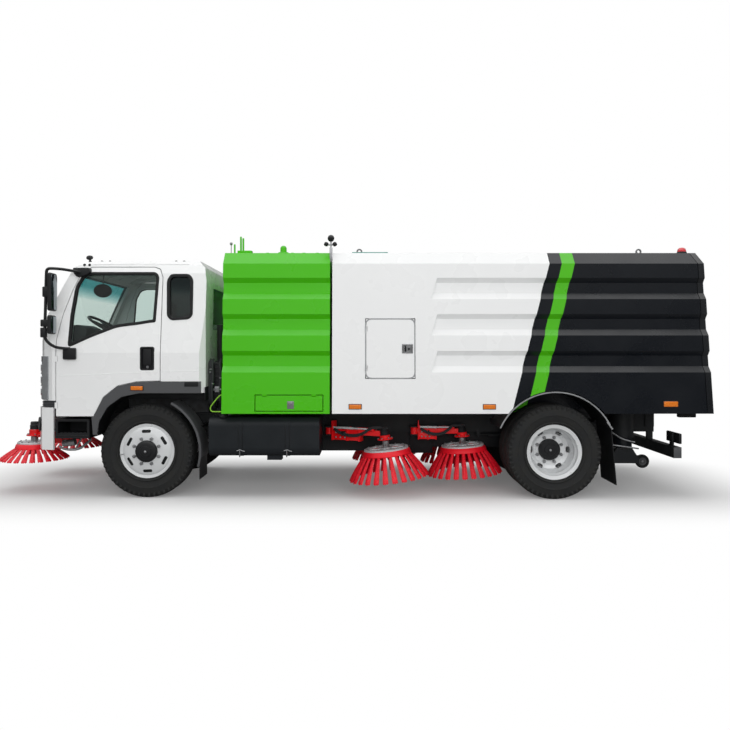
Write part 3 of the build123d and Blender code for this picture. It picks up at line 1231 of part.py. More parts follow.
# ---------------------------------------------------------------- writing
def main():
    """Build every sub-part and write it."""
    os.makedirs("parts", exist_ok=True)
    write("chassis_frame", chassis_frame())
    write("front_axle", front_axle())
    write("rear_axle_and_shaft", *rear_axle())
    write("leaf_springs", *leaf_springs())
    write("engine_blocks", *engine_blocks())
    write("side_tanks", *side_tanks())
    write("mudguards_and_aprons", *mudguards())
    write("cab_steps", *cab_steps())
    write("front_bumper", front_bumper())
    write("chassis_lamps", *chassis_lamps())
    write("underride_guard", underride_guard())
    write("intake_stack", intake_stack())
    write("tie_rod", tie_rod())

    write("module_shell", module_shell())
    write("module_hatch", module_hatch())
    write("module_fittings", *module_fittings())
    tank = tank_solid()
    write("tank_shell", tank_shell(tank))
    write("tail_door", tail_door(tank))
    write("access_door", access_door())
    write("tank_fittings", *tank_fittings())
    write("tip_barrels", *tip_barrels())
    write("tip_rods", *tip_rods())

    write("cab_shell", cab_shell())
    write("cab_glass", *cab_glass())
    write("cab_trim", *cab_trim())
    write("headlamps", *headlamps())
    write("cab_interior", *cab_interior())

    front_tyre, front_rim = front_wheel()
    rear_tyres, rear_rims = rear_wheels()
    for side in ("left", "right"):
        write(f"door_{side}", on_side(door(), side))
        write(f"door_glass_{side}", on_side(door_glass(), side))
        write(f"mirror_{side}", on_side(mirror_arm(), side))
        write(f"knuckle_{side}", on_side(knuckle(), side))
        write(f"front_tyre_{side}", placed_wheel(front_tyre, 0, side))
        write(f"front_rim_{side}", placed_wheel(front_rim, 0, side))
        write(f"rear_tyres_{side}", *[placed_wheel(tyre_piece, WHEELBASE, side) for tyre_piece in rear_tyres])
        write(f"rear_rims_{side}", placed_wheel(rear_rims, WHEELBASE, side))
        write(f"front_brush_{side}", on_side(brush(FRONT_BRUSH), side))
        write(f"front_arm_{side}", on_side(brush_arm(FRONT_BRUSH, FRONT_ARM_PIVOT, FRONT_FORK, 60), side))
        for place, pivot in (("outer", OUTER_ARM_PIVOT), ("inner", INNER_ARM_PIVOT)):
            spec = MID_BRUSHES[place]
            write(f"{place}_brush_{side}", on_side(brush(spec), side))
            write(f"{place}_arm_{side}", on_side(brush_arm(spec, pivot, MID_FORK, 80), side))
    write("suction_nozzle", *suction_nozzle())
    write("nozzle_wheels", nozzle_wheels())


if __name__ == "__main__":
    main()
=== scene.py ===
"""Looks of the street sweeper truck: a finish for each of its solids, and the fine pieces they carry."""
import json
import logging
from collections.abc import Iterable, Iterator, Sequence
from contextlib import contextmanager
from dataclasses import dataclass
from enum import Enum
from math import cos, pi, radians, sin

import bmesh
import bpy
from mathutils import Matrix, Vector


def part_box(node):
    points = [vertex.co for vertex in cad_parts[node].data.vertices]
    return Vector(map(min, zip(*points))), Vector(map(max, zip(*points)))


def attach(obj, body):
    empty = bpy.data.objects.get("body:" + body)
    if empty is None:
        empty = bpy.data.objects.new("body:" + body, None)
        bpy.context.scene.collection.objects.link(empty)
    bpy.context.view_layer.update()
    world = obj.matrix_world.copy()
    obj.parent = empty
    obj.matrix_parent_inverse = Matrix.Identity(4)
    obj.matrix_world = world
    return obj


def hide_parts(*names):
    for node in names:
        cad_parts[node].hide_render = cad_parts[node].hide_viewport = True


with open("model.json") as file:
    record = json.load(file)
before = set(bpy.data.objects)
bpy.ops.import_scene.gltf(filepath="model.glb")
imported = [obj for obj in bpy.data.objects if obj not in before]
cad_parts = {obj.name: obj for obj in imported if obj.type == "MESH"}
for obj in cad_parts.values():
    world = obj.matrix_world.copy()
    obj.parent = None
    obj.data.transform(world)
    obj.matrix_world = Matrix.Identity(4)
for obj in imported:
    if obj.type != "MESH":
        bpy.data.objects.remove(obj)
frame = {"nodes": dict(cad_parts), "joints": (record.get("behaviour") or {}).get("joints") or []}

logging.basicConfig(level=logging.INFO, format="%(message)s")
log = logging.getLogger("sweeper")

MM = 0.001
FRONT_AXLE_X = sum(corner.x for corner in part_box("front_tyre_left")) / 2
WHEEL_RADIUS = 483.0
WHEELBASE = 4200.0
CAB_HALF = 1040.0
MODULE_ROOF = 2538.0
SIDES = ("left", "right")
JOINTS = {row["name"]: row for row in frame["joints"]}
UP = Vector((0, 0, 1))
ACROSS = Vector((0, 1, 0))
Outline = Sequence[tuple[float, float]]
Object = bpy.types.Object
Socket = bpy.types.NodeSocket


def at(station: float) -> float:
    """X in metres of a station, which is a distance in millimetres behind the front axle."""
    return FRONT_AXLE_X - station * MM


def spot(station: float, y: float, height: float) -> Vector:
    """Point in metres from a station, a lateral place and a height in millimetres."""
    return Vector((at(station), y * MM, height * MM))


def spots(*places: Sequence[float]) -> list[Vector]:
    """Points from several stations, lateral places and heights."""
    return [spot(*place) for place in places]


# ---------------------------------------------------------------- colours and finishes
def linear(colour: str) -> tuple[float, float, float, float]:
    """Linear colour of an sRGB hex value."""
    shares = [int(colour[index:index + 2], 16) / 255 for index in (1, 3, 5)]
    channels = [share / 12.92 if share <= 0.04045 else ((share + 0.055) / 1.055) ** 2.4 for share in shares]
    return (*channels, 1.0)


class Shading:
    """Node tree of a material or of the world, made from nothing."""

    def __init__(self, owner: bpy.types.ID) -> None:
        """Clear the owner's tree."""
        owner.use_nodes = True
        self.tree = owner.node_tree
        self.tree.nodes.clear()

    def node(self, kind: str, inputs: dict | None = None) -> bpy.types.Node:
        """Add one shader node.

        Args:
            kind: its type, without the prefix that all types share.
            inputs: its own properties, and a value or a socket for its inputs, by name or number.

        Returns:
            The new node.
        """
        node = self.tree.nodes.new("ShaderNode" + kind)
        for key, value in (inputs or {}).items():
            if isinstance(value, Socket):
                self.tree.links.new(value, node.inputs[key])
            elif isinstance(key, int) or key in node.inputs:
                node.inputs[key].default_value = value
            else:
                setattr(node, key, value)
        return node

    def math(self, operation: str, *terms: float | Socket, kind: str = "Math") -> Socket:
        """Result of an operation on numbers, vectors or sockets."""
        return self.node(kind, {"operation": operation, **dict(enumerate(terms))}).outputs[0]

    def mix(self, share: float | Socket, first: Sequence[float] | Socket, second: Sequence[float]) -> Socket:
        """Colour between two others."""
        return self.node("Mix", {"data_type": "RGBA", 0: share, 6: first, 7: second}).outputs[2]

    def ranged(self, value: Socket, source: Sequence[float], target: Sequence[float | Socket],
               kind: str = "LINEAR") -> Socket:
        """Value carried from one range into another."""
        return self.node("MapRange", {"interpolation_type": kind, "Value": value,
                                      "From Min": source[0], "From Max": source[1],
                                      "To Min": target[0], "To Max": target[1]}).outputs["Result"]

    def split(self, vector: Socket) -> bpy.types.NodeOutputs:
        """The three parts of a vector."""
        return self.node("SeparateXYZ", {"Vector": vector}).outputs

    def coordinates(self, kind: str) -> Socket:
        """Texture coordinates of one kind."""
        return self.node("TexCoord").outputs[kind]


class Surface(Enum):
    """How a surface was made, which decides the pattern of its relief."""

    SPRAYED = "sprayed"
    GRAINED = "grained"
    CAST = "cast"
    BRUSHED = "brushed"
    WOVEN = "woven"
    PLAIN = "plain"


@dataclass(frozen=True)
class Finish:
    """A material of one real kind, with its colour, gloss and relief."""

    name: str
    slot: str
    colour: str
    second: str
    surface: Surface = Surface.SPRAYED
    roughness: float = 0.35
    roughness_spread: float = 0.08
    metallic: float = 0.0
    coat: float = 0.0
    mottle_mm: float = 350.0
    mottle_share: float = 0.25
    relief_mm: float = 6.0
    relief_depth_mm: float = 0.05
    glow: float = 0.0
    specular: float = 0.5

    def material(self) -> bpy.types.Material:
        """The Blender material of this finish, made once."""
        made = bpy.data.materials.get(self.name)
        if not made:
            made = bpy.data.materials.new(self.name)
            shading = Shading(made)
            shading.node("OutputMaterial", {"Surface": self.shader(shading)})
        return made

    def shader(self, shading: Shading) -> Socket:
        """Mottled colour and gloss over a fine relief."""
        place = shading.coordinates("Object")
        mottle = shading.node("TexNoise", {"Scale": 1000 / self.mottle_mm, "Detail": 3.0,
                                           "Vector": place}).outputs["Fac"]
        share = shading.ranged(mottle, (0.35, 0.75), (0.0, self.mottle_share))
        gloss = (self.roughness - self.roughness_spread, self.roughness + self.roughness_spread)
        inputs = {"Base Color": shading.mix(share, self.paint(shading, place), linear(self.second)),
                  "Roughness": shading.ranged(mottle, (0.3, 0.7), gloss), "Metallic": self.metallic,
                  "IOR": 1.5, "Coat Weight": self.coat, "Coat Roughness": 0.06,
                  "Specular IOR Level": self.specular}
        if self.glow:
            inputs |= {"Emission Color": linear(self.colour), "Emission Strength": self.glow}
        if self.surface is not Surface.PLAIN:
            inputs["Normal"] = shading.node("Bump", {
                "Strength": 0.6, "Distance": self.relief_depth_mm * MM,
                "Height": self.relief(shading, place)}).outputs["Normal"]
        return shading.node("BsdfPrincipled", inputs).outputs["BSDF"]

    def paint(self, shading: Shading, place: Socket) -> Sequence[float] | Socket:
        """The main colour."""
        return linear(self.colour)

    def relief(self, shading: Shading, place: Socket) -> Socket:
        """Height pattern of the surface, at its real size.

        Args:
            shading: the material's node tree.
            place: the object coordinates.

        Returns:
            The socket with the height.
        """
        scale = 1000 / self.relief_mm
        if self.surface is Surface.GRAINED:
            return shading.node("TexVoronoi", {"Scale": scale, "Vector": place}).outputs["Distance"]
        if self.surface is Surface.WOVEN:
            return shading.node("TexBrick", {"Scale": scale, "Vector": place}).outputs["Fac"]
        noise = {"Scale": scale, "Detail": 5.0 if self.surface is Surface.CAST else 1.0, "Vector": place}
        if self.surface is Surface.BRUSHED:
            noise = {"Scale": 1.0, "Vector": shading.node("Mapping", {
                "Scale": (scale, scale, scale * 0.04), "Vector": place}).outputs["Vector"]}
        return shading.node("TexNoise", noise).outputs["Fac"]


@dataclass(frozen=True)
class Livery(Finish):
    """White tank paint that turns black towards the tail, with a slanting green stripe between, and painted
    shade on the skin's inner faces and underside.
    """

    stripe: str = "#4CB905"
    tail: str = "#0C1016"
    # painted shade: dark grey for the skin's inner faces and underside, where shade falls
    inner_shade: str = "#2A2D30"
    shoulder: float = 2416.0
    tail_station: float = 4150.0
    tail_slant: float = 0.265
    stripe_station: float = 4277.0
    stripe_slant: float = 0.25
    stripe_width: float = 132.0
    floor_tested_below: float = 1200.0
    skin_half: float = 950.0
    least_facing: float = 0.12

    def paint(self, shading: Shading, place: Socket) -> Socket:
        """Lay the three paints side by side along the tank, and painted shade on its inner faces and
        underside.
        """
        axes = shading.split(place)
        height = shading.math("MINIMUM", axes["Z"], self.shoulder * MM)

        def behind(station: float, slant: float) -> Socket:
            """1 behind a line that passes the shoulder at a station and leans with the height."""
            line = shading.math("MULTIPLY_ADD", height, -slant, at(station) + slant * self.shoulder * MM)
            return shading.math("LESS_THAN", axes["X"], line)

        tail = shading.mix(behind(self.tail_station, self.tail_slant), linear(self.colour), linear(self.tail))
        inside = shading.math("SUBTRACT", behind(self.stripe_station, self.stripe_slant),
                              behind(self.stripe_station + self.stripe_width, self.stripe_slant))
        stripe = shading.mix(inside, tail, linear(self.stripe))
        return shading.mix(self.painted_shade_mask(shading, axes), stripe, linear(self.inner_shade))

    def painted_shade_mask(self, shading: Shading, axes: bpy.types.NodeOutputs) -> Socket:
        """1 where shade is painted: on the skin's inner faces and on its underside, told by where the skin
        faces at rest.
        """
        facing = shading.split(shading.coordinates("Normal"))
        sides = shading.math("MULTIPLY", facing["Y"], axes["Y"])
        above = shading.math("SUBTRACT", axes["Z"], self.floor_tested_below * MM)
        ends = shading.math("MINIMUM", shading.math("MULTIPLY", facing["Z"], above), facing["X"])
        outer = shading.math("MULTIPLY_ADD", shading.math("ABSOLUTE", axes["Y"]), 4.0,
                             -4.0 * self.skin_half * MM)
        every = shading.math("MINIMUM", sides, shading.math("MAXIMUM", ends, outer))
        return shading.math("LESS_THAN", every, -self.least_facing)


@dataclass(frozen=True)
class Glass(Finish):
    """Clear or tinted glass, with a coloured sun band above a height."""

    band: str = ""
    band_height: float = 2100.0
    band_fade: float = 140.0

    def shader(self, shading: Shading) -> Socket:
        """Thin toughened glass: mostly clear, mirror-like at grazing angles."""
        tint = linear(self.colour)
        if self.band:
            height = shading.split(shading.coordinates("Object"))["Z"]
            fade = (self.band_height * MM, (self.band_height + self.band_fade) * MM)
            tint = shading.mix(shading.ranged(height, fade, (0.0, 1.0)), tint, linear(self.band))
        facing = shading.node("LayerWeight", {"Blend": 0.5}).outputs["Facing"]
        mirror = shading.ranged(shading.math("POWER", facing, 5.0), (0.0, 1.0), (0.03, 0.7))
        return shading.node("MixShader", {
            0: mirror, 1: shading.node("BsdfTransparent", {"Color": tint}).outputs[0],
            2: shading.node("BsdfGlossy", {"Roughness": 0.03}).outputs[0]}).outputs[0]


# two-pack polyurethane enamel on pressed sheet steel: glossy, with a faint orange peel
CAB_WHITE = Finish("cab_white_enamel", "cab_paint", "#F6F7F7", "#F0F2F2", roughness=0.28, coat=0.5)
TANK_WHITE = Livery("tank_livery_and_painted_shade", "white_paint", "#F2F3F3", "#F2F3F3", roughness=0.3,
                    mottle_share=0.0, specular=0.4, coat=0.1)
PLAIN_WHITE = Finish("plain_white_enamel", "white_paint", "#F3F4F4", "#ECEEEE", roughness=0.34, coat=0.3)
GREEN = Finish("green_enamel", "green_paint", "#48BC00", "#45B600", roughness=0.32, specular=0.4, coat=0.15)
TAIL_BLACK = Finish("tail_black_enamel", "dark_paint", "#0F1216", "#12151A", roughness=0.32, specular=0.5,
                    coat=0.3)
RED = Finish("red_enamel", "red_paint", "#E8161C", "#C81218", roughness=0.34, coat=0.3)
# alkyd chassis paint over rolled steel, with a thin film of road dust
CHASSIS = Finish("chassis_alkyd_paint", "chassis_black", "#16181A", "#2B2C2C", roughness=0.5,
                 mottle_mm=120, mottle_share=0.6, relief_depth_mm=0.15)
TANK_BLACK = Finish("fuel_tank_powder_coat", "tank_black", "#1F2225", "#292C2F", roughness=0.42,
                    mottle_mm=260, mottle_share=0.5, relief_mm=3, relief_depth_mm=0.06, specular=0.25)
CAST = Finish("sand_cast_iron", "cast_engine", "#4A4C4E", "#35322F", Surface.CAST, roughness=0.62,
              mottle_mm=60, mottle_share=0.7, relief_mm=5, relief_depth_mm=0.5)
# carbon-black tread rubber, dull, with a trace of dust
TYRE = Finish("tyre_tread_rubber", "tyre_rubber", "#202122", "#34332F", Surface.CAST, roughness=0.78,
              mottle_mm=90, mottle_share=0.45, relief_mm=4, relief_depth_mm=0.25)
SEAL = Finish("epdm_seal_rubber", "wheel_rubber", "#121314", "#1E1F20", Surface.GRAINED, roughness=0.66,
              relief_mm=2, relief_depth_mm=0.05)
# injection-moulded polypropylene with a fine spark-eroded grain
BLACK_PLASTIC = Finish("black_polypropylene", "black_plastic", "#17181A", "#232426", Surface.GRAINED,
                       roughness=0.5, relief_mm=2.5, relief_depth_mm=0.08)
GREY_PLASTIC = Finish("grey_polypropylene", "grey_plastic", "#4E4F51", "#58595B", Surface.GRAINED,
                      roughness=0.55, relief_mm=2.5, relief_depth_mm=0.1)
INTERIOR = Finish("cab_abs_moulding", "interior_plastic", "#303234", "#3B3D3F", Surface.GRAINED,
                  roughness=0.6, relief_mm=3, relief_depth_mm=0.12)
SEAT_CLOTH = Finish("seat_polyester_cloth", "interior_plastic", "#3A3D42", "#2C2E33", Surface.WOVEN,
                    roughness=0.85, mottle_mm=20, mottle_share=0.6, relief_mm=4, relief_depth_mm=0.4)
# aluminium-silver wheel lacquer
RIM = Finish("silver_wheel_lacquer", "rim_silver", "#E6E8E9", "#D6D9DA", roughness=0.34, metallic=0.2,
             mottle_mm=140, coat=0.2)
ZINC = Finish("zinc_plated_steel", "rod_chrome", "#B9BABC", "#97989B", Surface.BRUSHED, roughness=0.32,
              metallic=0.9, mottle_mm=18, mottle_share=0.6, relief_mm=1.5, relief_depth_mm=0.05)
PLATED_RING = Finish("bright_plated_ring", "rod_chrome", "#DCDFE1", "#C4C8CB", Surface.BRUSHED, roughness=0.3,
                     metallic=0.35, mottle_mm=40, mottle_share=0.5, relief_mm=2, relief_depth_mm=0.04)
CHROME = Finish("hard_chrome_plate", "rod_chrome", "#D6D8DA", "#C8CACC", Surface.BRUSHED, roughness=0.1,
                roughness_spread=0.04, metallic=1.0, relief_mm=1.0, relief_depth_mm=0.01)
# extruded polypropylene bristles, streaked along their length
BRISTLE = Finish("polypropylene_bristle", "brush_red", "#F4182E", "#B40E1C", Surface.BRUSHED, roughness=0.42,
                 mottle_mm=16, mottle_share=0.75, relief_mm=4, relief_depth_mm=0.8)
BRISTLE_BASE = Finish("brush_base_moulding", "brush_red", "#F2182A", "#DC1422", Surface.GRAINED,
                      roughness=0.4, relief_mm=3, relief_depth_mm=0.1)
AMBER = Finish("amber_lamp_lens", "lamp_lens", "#D06A12", "#F08C22", Surface.GRAINED, roughness=0.2,
               coat=0.6, mottle_mm=12, mottle_share=0.6, relief_mm=5, relief_depth_mm=0.6, glow=0.12)
RED_LENS = Finish("red_lamp_lens", "lamp_lens", "#B81422", "#D83038", Surface.GRAINED, roughness=0.2,
                  coat=0.6, mottle_mm=12, mottle_share=0.6, relief_mm=5, relief_depth_mm=0.6, glow=0.1)
CLEAR_LENS = Finish("clear_lamp_lens", "lamp_lens", "#A4A8AB", "#C9CDD0", Surface.GRAINED, roughness=0.12,
                    coat=0.9, metallic=0.5, mottle_mm=90, mottle_share=0.5, relief_mm=9, relief_depth_mm=0.3)
SCREEN = Glass("laminated_screen", "window_glass", "#F5FAF8", "#F5FAF8", Surface.PLAIN, band="#7FC0C2")
WINDOW = Glass("toughened_window", "window_glass", "#EDF3F1", "#EDF3F1", Surface.PLAIN)
PRIVACY = Glass("dark_window", "window_glass", "#5A6362", "#5A6362", Surface.PLAIN)
BEACON = Finish("red_beacon_dome", "lamp_lens", "#C41420", "#E0303A", Surface.PLAIN, roughness=0.18, coat=0.8,
                mottle_mm=30, mottle_share=0.5, glow=0.08)
HOSE = Finish("braided_rubber_hose", "wheel_rubber", "#2B2D2F", "#3A3B3C", Surface.WOVEN, roughness=0.6,
              mottle_mm=30, mottle_share=0.5, relief_mm=6, relief_depth_mm=0.3)
GUARD_GREEN = Finish("yellow_green_enamel", "green_paint", "#8CC63A", "#79B42C", roughness=0.4)
TEAL_SHEET = Finish("tinted_roof_sheet", "window_glass", "#5E9C90", "#4C8C82", roughness=0.25, coat=0.4)
LIP_GREY = Finish("galvanised_edge_strip", "rod_chrome", "#A9ABAD", "#8C8E90", roughness=0.5, metallic=0.3,
                  mottle_mm=40, mottle_share=0.6)
MIRROR = Finish("mirror_glass", "rod_chrome", "#7C868B", "#7C868B", Surface.PLAIN, roughness=0.03,
                roughness_spread=0.01, metallic=1.0)


# ---------------------------------------------------------------- modelling
def select(*pieces: Object) -> None:
    """Select these pieces alone and make the first one active."""
    bpy.ops.object.select_all(action="DESELECT")
    for piece in pieces:
        piece.select_set(True)
    bpy.context.view_layer.objects.active = pieces[0]


@contextmanager
def editing() -> Iterator[None]:
    """Edit mode on the active piece, with its whole mesh selected at the start."""
    bpy.ops.object.mode_set(mode="EDIT")
    bpy.ops.mesh.select_all(action="SELECT")
    yield
    bpy.ops.object.mode_set(mode="OBJECT")


def settle() -> Object:
    """Move the new primitive's place into its mesh."""
    piece = bpy.context.active_object
    select(piece)
    bpy.ops.object.transform_apply(location=True, rotation=True, scale=True)
    return piece


def drawn(points: Iterable[Sequence[float]], edges: Sequence[tuple[int, int]],
          faces: Sequence[Sequence[int]]) -> Object:
    """A mesh from its points, selected and active."""
    mesh = bpy.data.meshes.new("part")
    mesh.from_pydata([tuple(point) for point in points], edges, faces)
    return linked(mesh)


def linked(data: bpy.types.ID) -> Object:
    """A new object of the scene from its data, selected and active."""
    piece = bpy.data.objects.new("part", data)
    bpy.context.scene.collection.objects.link(piece)
    select(piece)
    return piece


def modified(piece: Object, kind: str, **settings) -> Object:
    """The piece with one modifier applied."""
    modifier = piece.modifiers.new(kind.title(), kind)
    for key, value in settings.items():
        setattr(modifier, key, value)
    select(piece)
    bpy.ops.object.modifier_apply(modifier=modifier.name)
    return piece


def carved(piece: Object, cutter: Object) -> Object:
    """The piece without what the cutter takes up; the cutter goes."""
    modified(piece, "BOOLEAN", operation="DIFFERENCE", object=cutter, solver="EXACT")
    bpy.data.objects.remove(cutter)
    return piece


def eased(piece: Object, width: float = 0.0, segments: int = 2, smooth: float = 38.0) -> Object:
    """Round the piece's sharp edges by a width in millimetres and smooth what is left."""
    if width:
        modified(piece, "BEVEL", width=width * MM, segments=segments, limit_method="ANGLE",
                 angle_limit=radians(30))
    select(piece)
    bpy.ops.object.shade_smooth_by_angle(angle=radians(smooth))
    return piece


def cube(centre: Sequence[float], size: Sequence[float], ease: float, segments: int = 2) -> Object:
    """Block with eased edges from its centre and size in metres."""
    bpy.ops.object.select_all(action="DESELECT")
    bpy.ops.mesh.primitive_cube_add(size=1, location=centre, scale=size)
    return eased(settle(), ease, segments)


def block(stations: Sequence[float], ys: Sequence[float], heights: Sequence[float],
          ease: float = 3.0, segments: int = 2) -> Object:
    """Block with eased edges between stations, lateral places and heights."""
    low = spot(max(stations), min(ys), min(heights))
    high = spot(min(stations), max(ys), max(heights))
    return cube((low + high) / 2, high - low, ease, segments)


def bar(start: Vector, end: Vector, radius: float, sides: int = 20, ease: float = 1.5) -> Object:
    """Round bar between two points, its ends eased; radius in millimetres."""
    run = end - start
    bpy.ops.object.select_all(action="DESELECT")
    bpy.ops.mesh.primitive_cylinder_add(vertices=sides, radius=radius * MM, depth=run.length,
                                        location=(start + end) / 2,
                                        rotation=run.to_track_quat("Z", "Y").to_euler())
    return eased(settle(), ease)


def sheet(corners: Sequence[Vector], push: Vector, ease: float = 2.0,
          faces: Sequence[Sequence[int]] | None = None) -> Object:
    """Outline, or several faces, pushed along a direction, with eased edges."""
    piece = drawn(corners, [], faces or [tuple(range(len(corners)))])
    with editing():
        bpy.ops.mesh.extrude_region_move(TRANSFORM_OT_translate={"value": push})
        bpy.ops.mesh.select_all(action="SELECT")
        bpy.ops.mesh.normals_make_consistent(inside=False)
    return eased(piece, ease)


def side_sheet(outline: Outline, y_from: float, y_to: float, ease: float = 2.0) -> Object:
    """Outline of (station, height) points pushed across from one lateral place to another."""
    return sheet([spot(station, y_from, height) for station, height in outline],
                 ACROSS * (y_to - y_from) * MM, ease)


def grown(outline: Outline, distance: float) -> list[tuple[float, float]]:
    """Closed outline moved outwards by a distance."""
    corners = [Vector(corner) for corner in outline]
    count = len(corners)
    turn = sum(corners[index - 1].cross(corners[index]) for index in range(count))
    moved = []
    for index, corner in enumerate(corners):
        before = (corner - corners[index - 1]).normalized()
        after = (corners[(index + 1) % count] - corner).normalized()
        outwards = Vector((before.y + after.y, -before.x - after.x)) * (1 if turn > 0 else -1)
        moved.append(tuple(corner + outwards * distance / (1 + before.dot(after))))
    return moved


def rounded(outline: Outline, radius: float, steps: int = 4) -> list[tuple[float, float]]:
    """Closed outline with its corners turned into curves."""
    corners = [Vector(corner) for corner in outline]
    points = []
    for index, corner in enumerate(corners):
        before = corners[index - 1] - corner
        after = corners[(index + 1) % len(corners)] - corner
        reach = min(radius, before.length * 0.45, after.length * 0.45)
        start, end = corner + before.normalized() * reach, corner + after.normalized() * reach
        for step in range(steps + 1):
            share = step / steps
            points.append(tuple(start.lerp(corner, share).lerp(corner.lerp(end, share), share)))
    return points


def boxed(across: Sequence[float], upwards: Sequence[float]) -> Outline:
    """Four corners of a rectangle between two places across and two heights."""
    (left, right), (low, high) = across, upwards
    return ((left, low), (left, high), (right, high), (right, low))


def ring_sheet(outer: Outline, inner: Outline, y_from: float, y_to: float, ease: float = 1.5) -> Object:
    """Frame between two (station, height) outlines with as many points, pushed across."""
    count = len(outer)
    return sheet([spot(station, y_from, height) for station, height in (*outer, *inner)],
                 ACROSS * (y_to - y_from) * MM, ease,
                 [(index, (index + 1) % count, count + (index + 1) % count, count + index)
                  for index in range(count)])


def leaned(piece: Object, foot: float = 1500.0, head: float = 2330.0, reach: float = 110.0) -> Object:
    """Lean a left-hand piece inwards above a height, by the full reach at another height."""
    for vertex in piece.data.vertices:
        vertex.co.y -= max(0.0, (vertex.co.z / MM - foot) / (head - foot)) * reach * MM
    return piece


def along(start: Vector, end: Vector, share: float, aside: float = 0.0) -> Vector:
    """Point between two others, moved aside by millimetres."""
    return start.lerp(end, share) + UP.cross((end - start).normalized()) * aside * MM


def placed(centre: Vector, axis: Sequence[float] = UP) -> Matrix:
    """Placement of a piece drawn about the origin, with its Z turned to the axis."""
    turn = UP.rotation_difference(Vector(axis).normalized())
    return Matrix.Translation(centre) @ turn.to_matrix().to_4x4()


def lathe(profile: Outline, placement: Matrix = Matrix(), steps: int = 48) -> Object:
    """Turned piece from (radius, distance along) points in millimetres.

    Args:
        profile: its half section, from pole to pole or as a closed loop away from the axis.
        placement: where its origin and its Z axis go.
        steps: steps round the axis.

    Returns:
        The turned piece.
    """
    points = [(radius * MM, 0.0, reach * MM) for radius, reach in profile]
    edges = [(index, index + 1) for index in range(len(points) - 1)]
    if profile[0][0] > 0:
        edges.append((len(points) - 1, 0))
    piece = drawn(points, edges, [])
    with editing():
        bpy.ops.mesh.spin(steps=steps, angle=2 * pi, center=(0, 0, 0), axis=(0, 0, 1))
        bpy.ops.mesh.select_all(action="SELECT")
        bpy.ops.mesh.remove_doubles(threshold=1e-6)
        bpy.ops.mesh.normals_make_consistent(inside=False)
    piece.data.transform(placement)
    return eased(piece)


def tube(points: Sequence[Vector], radius: float, closed: bool = False, sides: int = 2) -> Object:
    """Round tube or hose along a smooth line near the points; radius in millimetres."""
    curve = bpy.data.curves.new("part", "CURVE")
    curve.dimensions = "3D"
    curve.bevel_depth = radius * MM
    curve.bevel_resolution = sides
    curve.use_fill_caps = True
    spline = curve.splines.new("NURBS")
    spline.points.add(len(points) - 1)
    for point, place in zip(spline.points, points):
        point.co = (*place, 1.0)
    spline.order_u = 3
    spline.use_endpoint_u = not closed
    spline.use_cyclic_u = closed
    spline.resolution_u = 6
    linked(curve)
    bpy.ops.object.convert(target="MESH")
    return eased(bpy.context.active_object)


def copies(pattern: Object, placements: Iterable[Matrix]) -> Object:
    """One piece with a copy of the pattern at each placement; the pattern itself goes."""
    build = bmesh.new()
    for placement in placements:
        part = pattern.data.copy()
        part.transform(placement)
        build.from_mesh(part)
        bpy.data.meshes.remove(part)
    bpy.data.objects.remove(pattern)
    piece = drawn([], [], [])
    build.to_mesh(piece.data)
    build.free()
    return eased(piece)


def ring_of(count: int, radius: float, placement: Matrix, phase: float = 0.0) -> list[Matrix]:
    """Placements round a circle about a placement's Z axis, each with its X pointing outwards."""
    turns = [Matrix.Rotation(2 * pi * (index + phase) / count, 4, "Z") for index in range(count)]
    return [placement @ turn @ Matrix.Translation((radius * MM, 0, 0)) for turn in turns]


def lifted(placement: Matrix, distance: float) -> Matrix:
    """A placement moved along its own Z axis by millimetres."""
    return placement @ Matrix.Translation(UP * distance * MM)


def hex_bolt(across: float, head: float, stud: float = 0.0) -> Object:
    """Hexagon head standing on the origin along Z, with a stud through it where it has one."""
    bpy.ops.object.select_all(action="DESELECT")
    bpy.ops.mesh.primitive_cylinder_add(vertices=6, radius=across / 1.73 * MM, depth=head * MM,
                                        location=(0, 0, head / 2 * MM))
    piece = eased(settle(), across * 0.06, 1)
    return joined([piece, bar(UP * 0, UP * (head + stud) * MM, across * 0.3, 12, 1)]) if stud else piece


def joined(pieces: Sequence[Object]) -> Object:
    """One piece from several."""
    select(*pieces)
    if len(pieces) > 1:
        bpy.ops.object.join()
    return bpy.context.active_object


def named(name: str, pieces: Object | Sequence[Object]) -> Object:
    """One piece with its name, from one or from several."""
    whole = joined([pieces] if isinstance(pieces, Object) else pieces)
    whole.name = whole.data.name = name
    return whole


def twin(piece: Object) -> Object:
    """The right-hand copy of a left-hand piece, with its own mesh."""
    copy = piece.copy()
    copy.data = piece.data.copy()
    bpy.context.scene.collection.objects.link(copy)
    copy.name = copy.data.name = piece.name.replace("left", "right")
    copy.data.transform(Matrix.Scale(-1, 4, ACROSS))
    copy.data.flip_normals()
    return copy


def finished(piece: Object, finish: Finish, body: str, nodes: Sequence[str]) -> Object:
    """Give a piece its finish and its body, and hide the solids that it stands for."""
    piece.data.materials.clear()
    piece.data.materials.append(finish.material())
    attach(piece, body)
    if nodes:
        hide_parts(*nodes)
    log.info("%s: %d faces on %s", piece.name, len(piece.data.polygons), body)
    return piece


def dress(name: str, pieces: Object | Sequence[Object], finish: Finish, body: str, *nodes: str) -> Object:
    """Name and finish a piece made of one or several shapes.

    Args:
        name: the piece's name.
        pieces: its shapes.
        finish: what it is made of.
        body: the body that it rides on.
        nodes: the solids that it stands for.

    Returns:
        The finished piece.
    """
    return finished(named(name, pieces), finish, body, nodes)


def dress_sides(name: str, pieces: Object | Sequence[Object], finish: Finish, body: str,
                *nodes: str) -> None:
    """Dress a left-hand piece and its right-hand twin; names with left in them change sides."""
    piece = named(name, pieces)
    other = twin(piece)
    finished(piece, finish, body, nodes)
    finished(other, finish, body.replace("left", "right"), [node.replace("left", "right") for node in nodes])


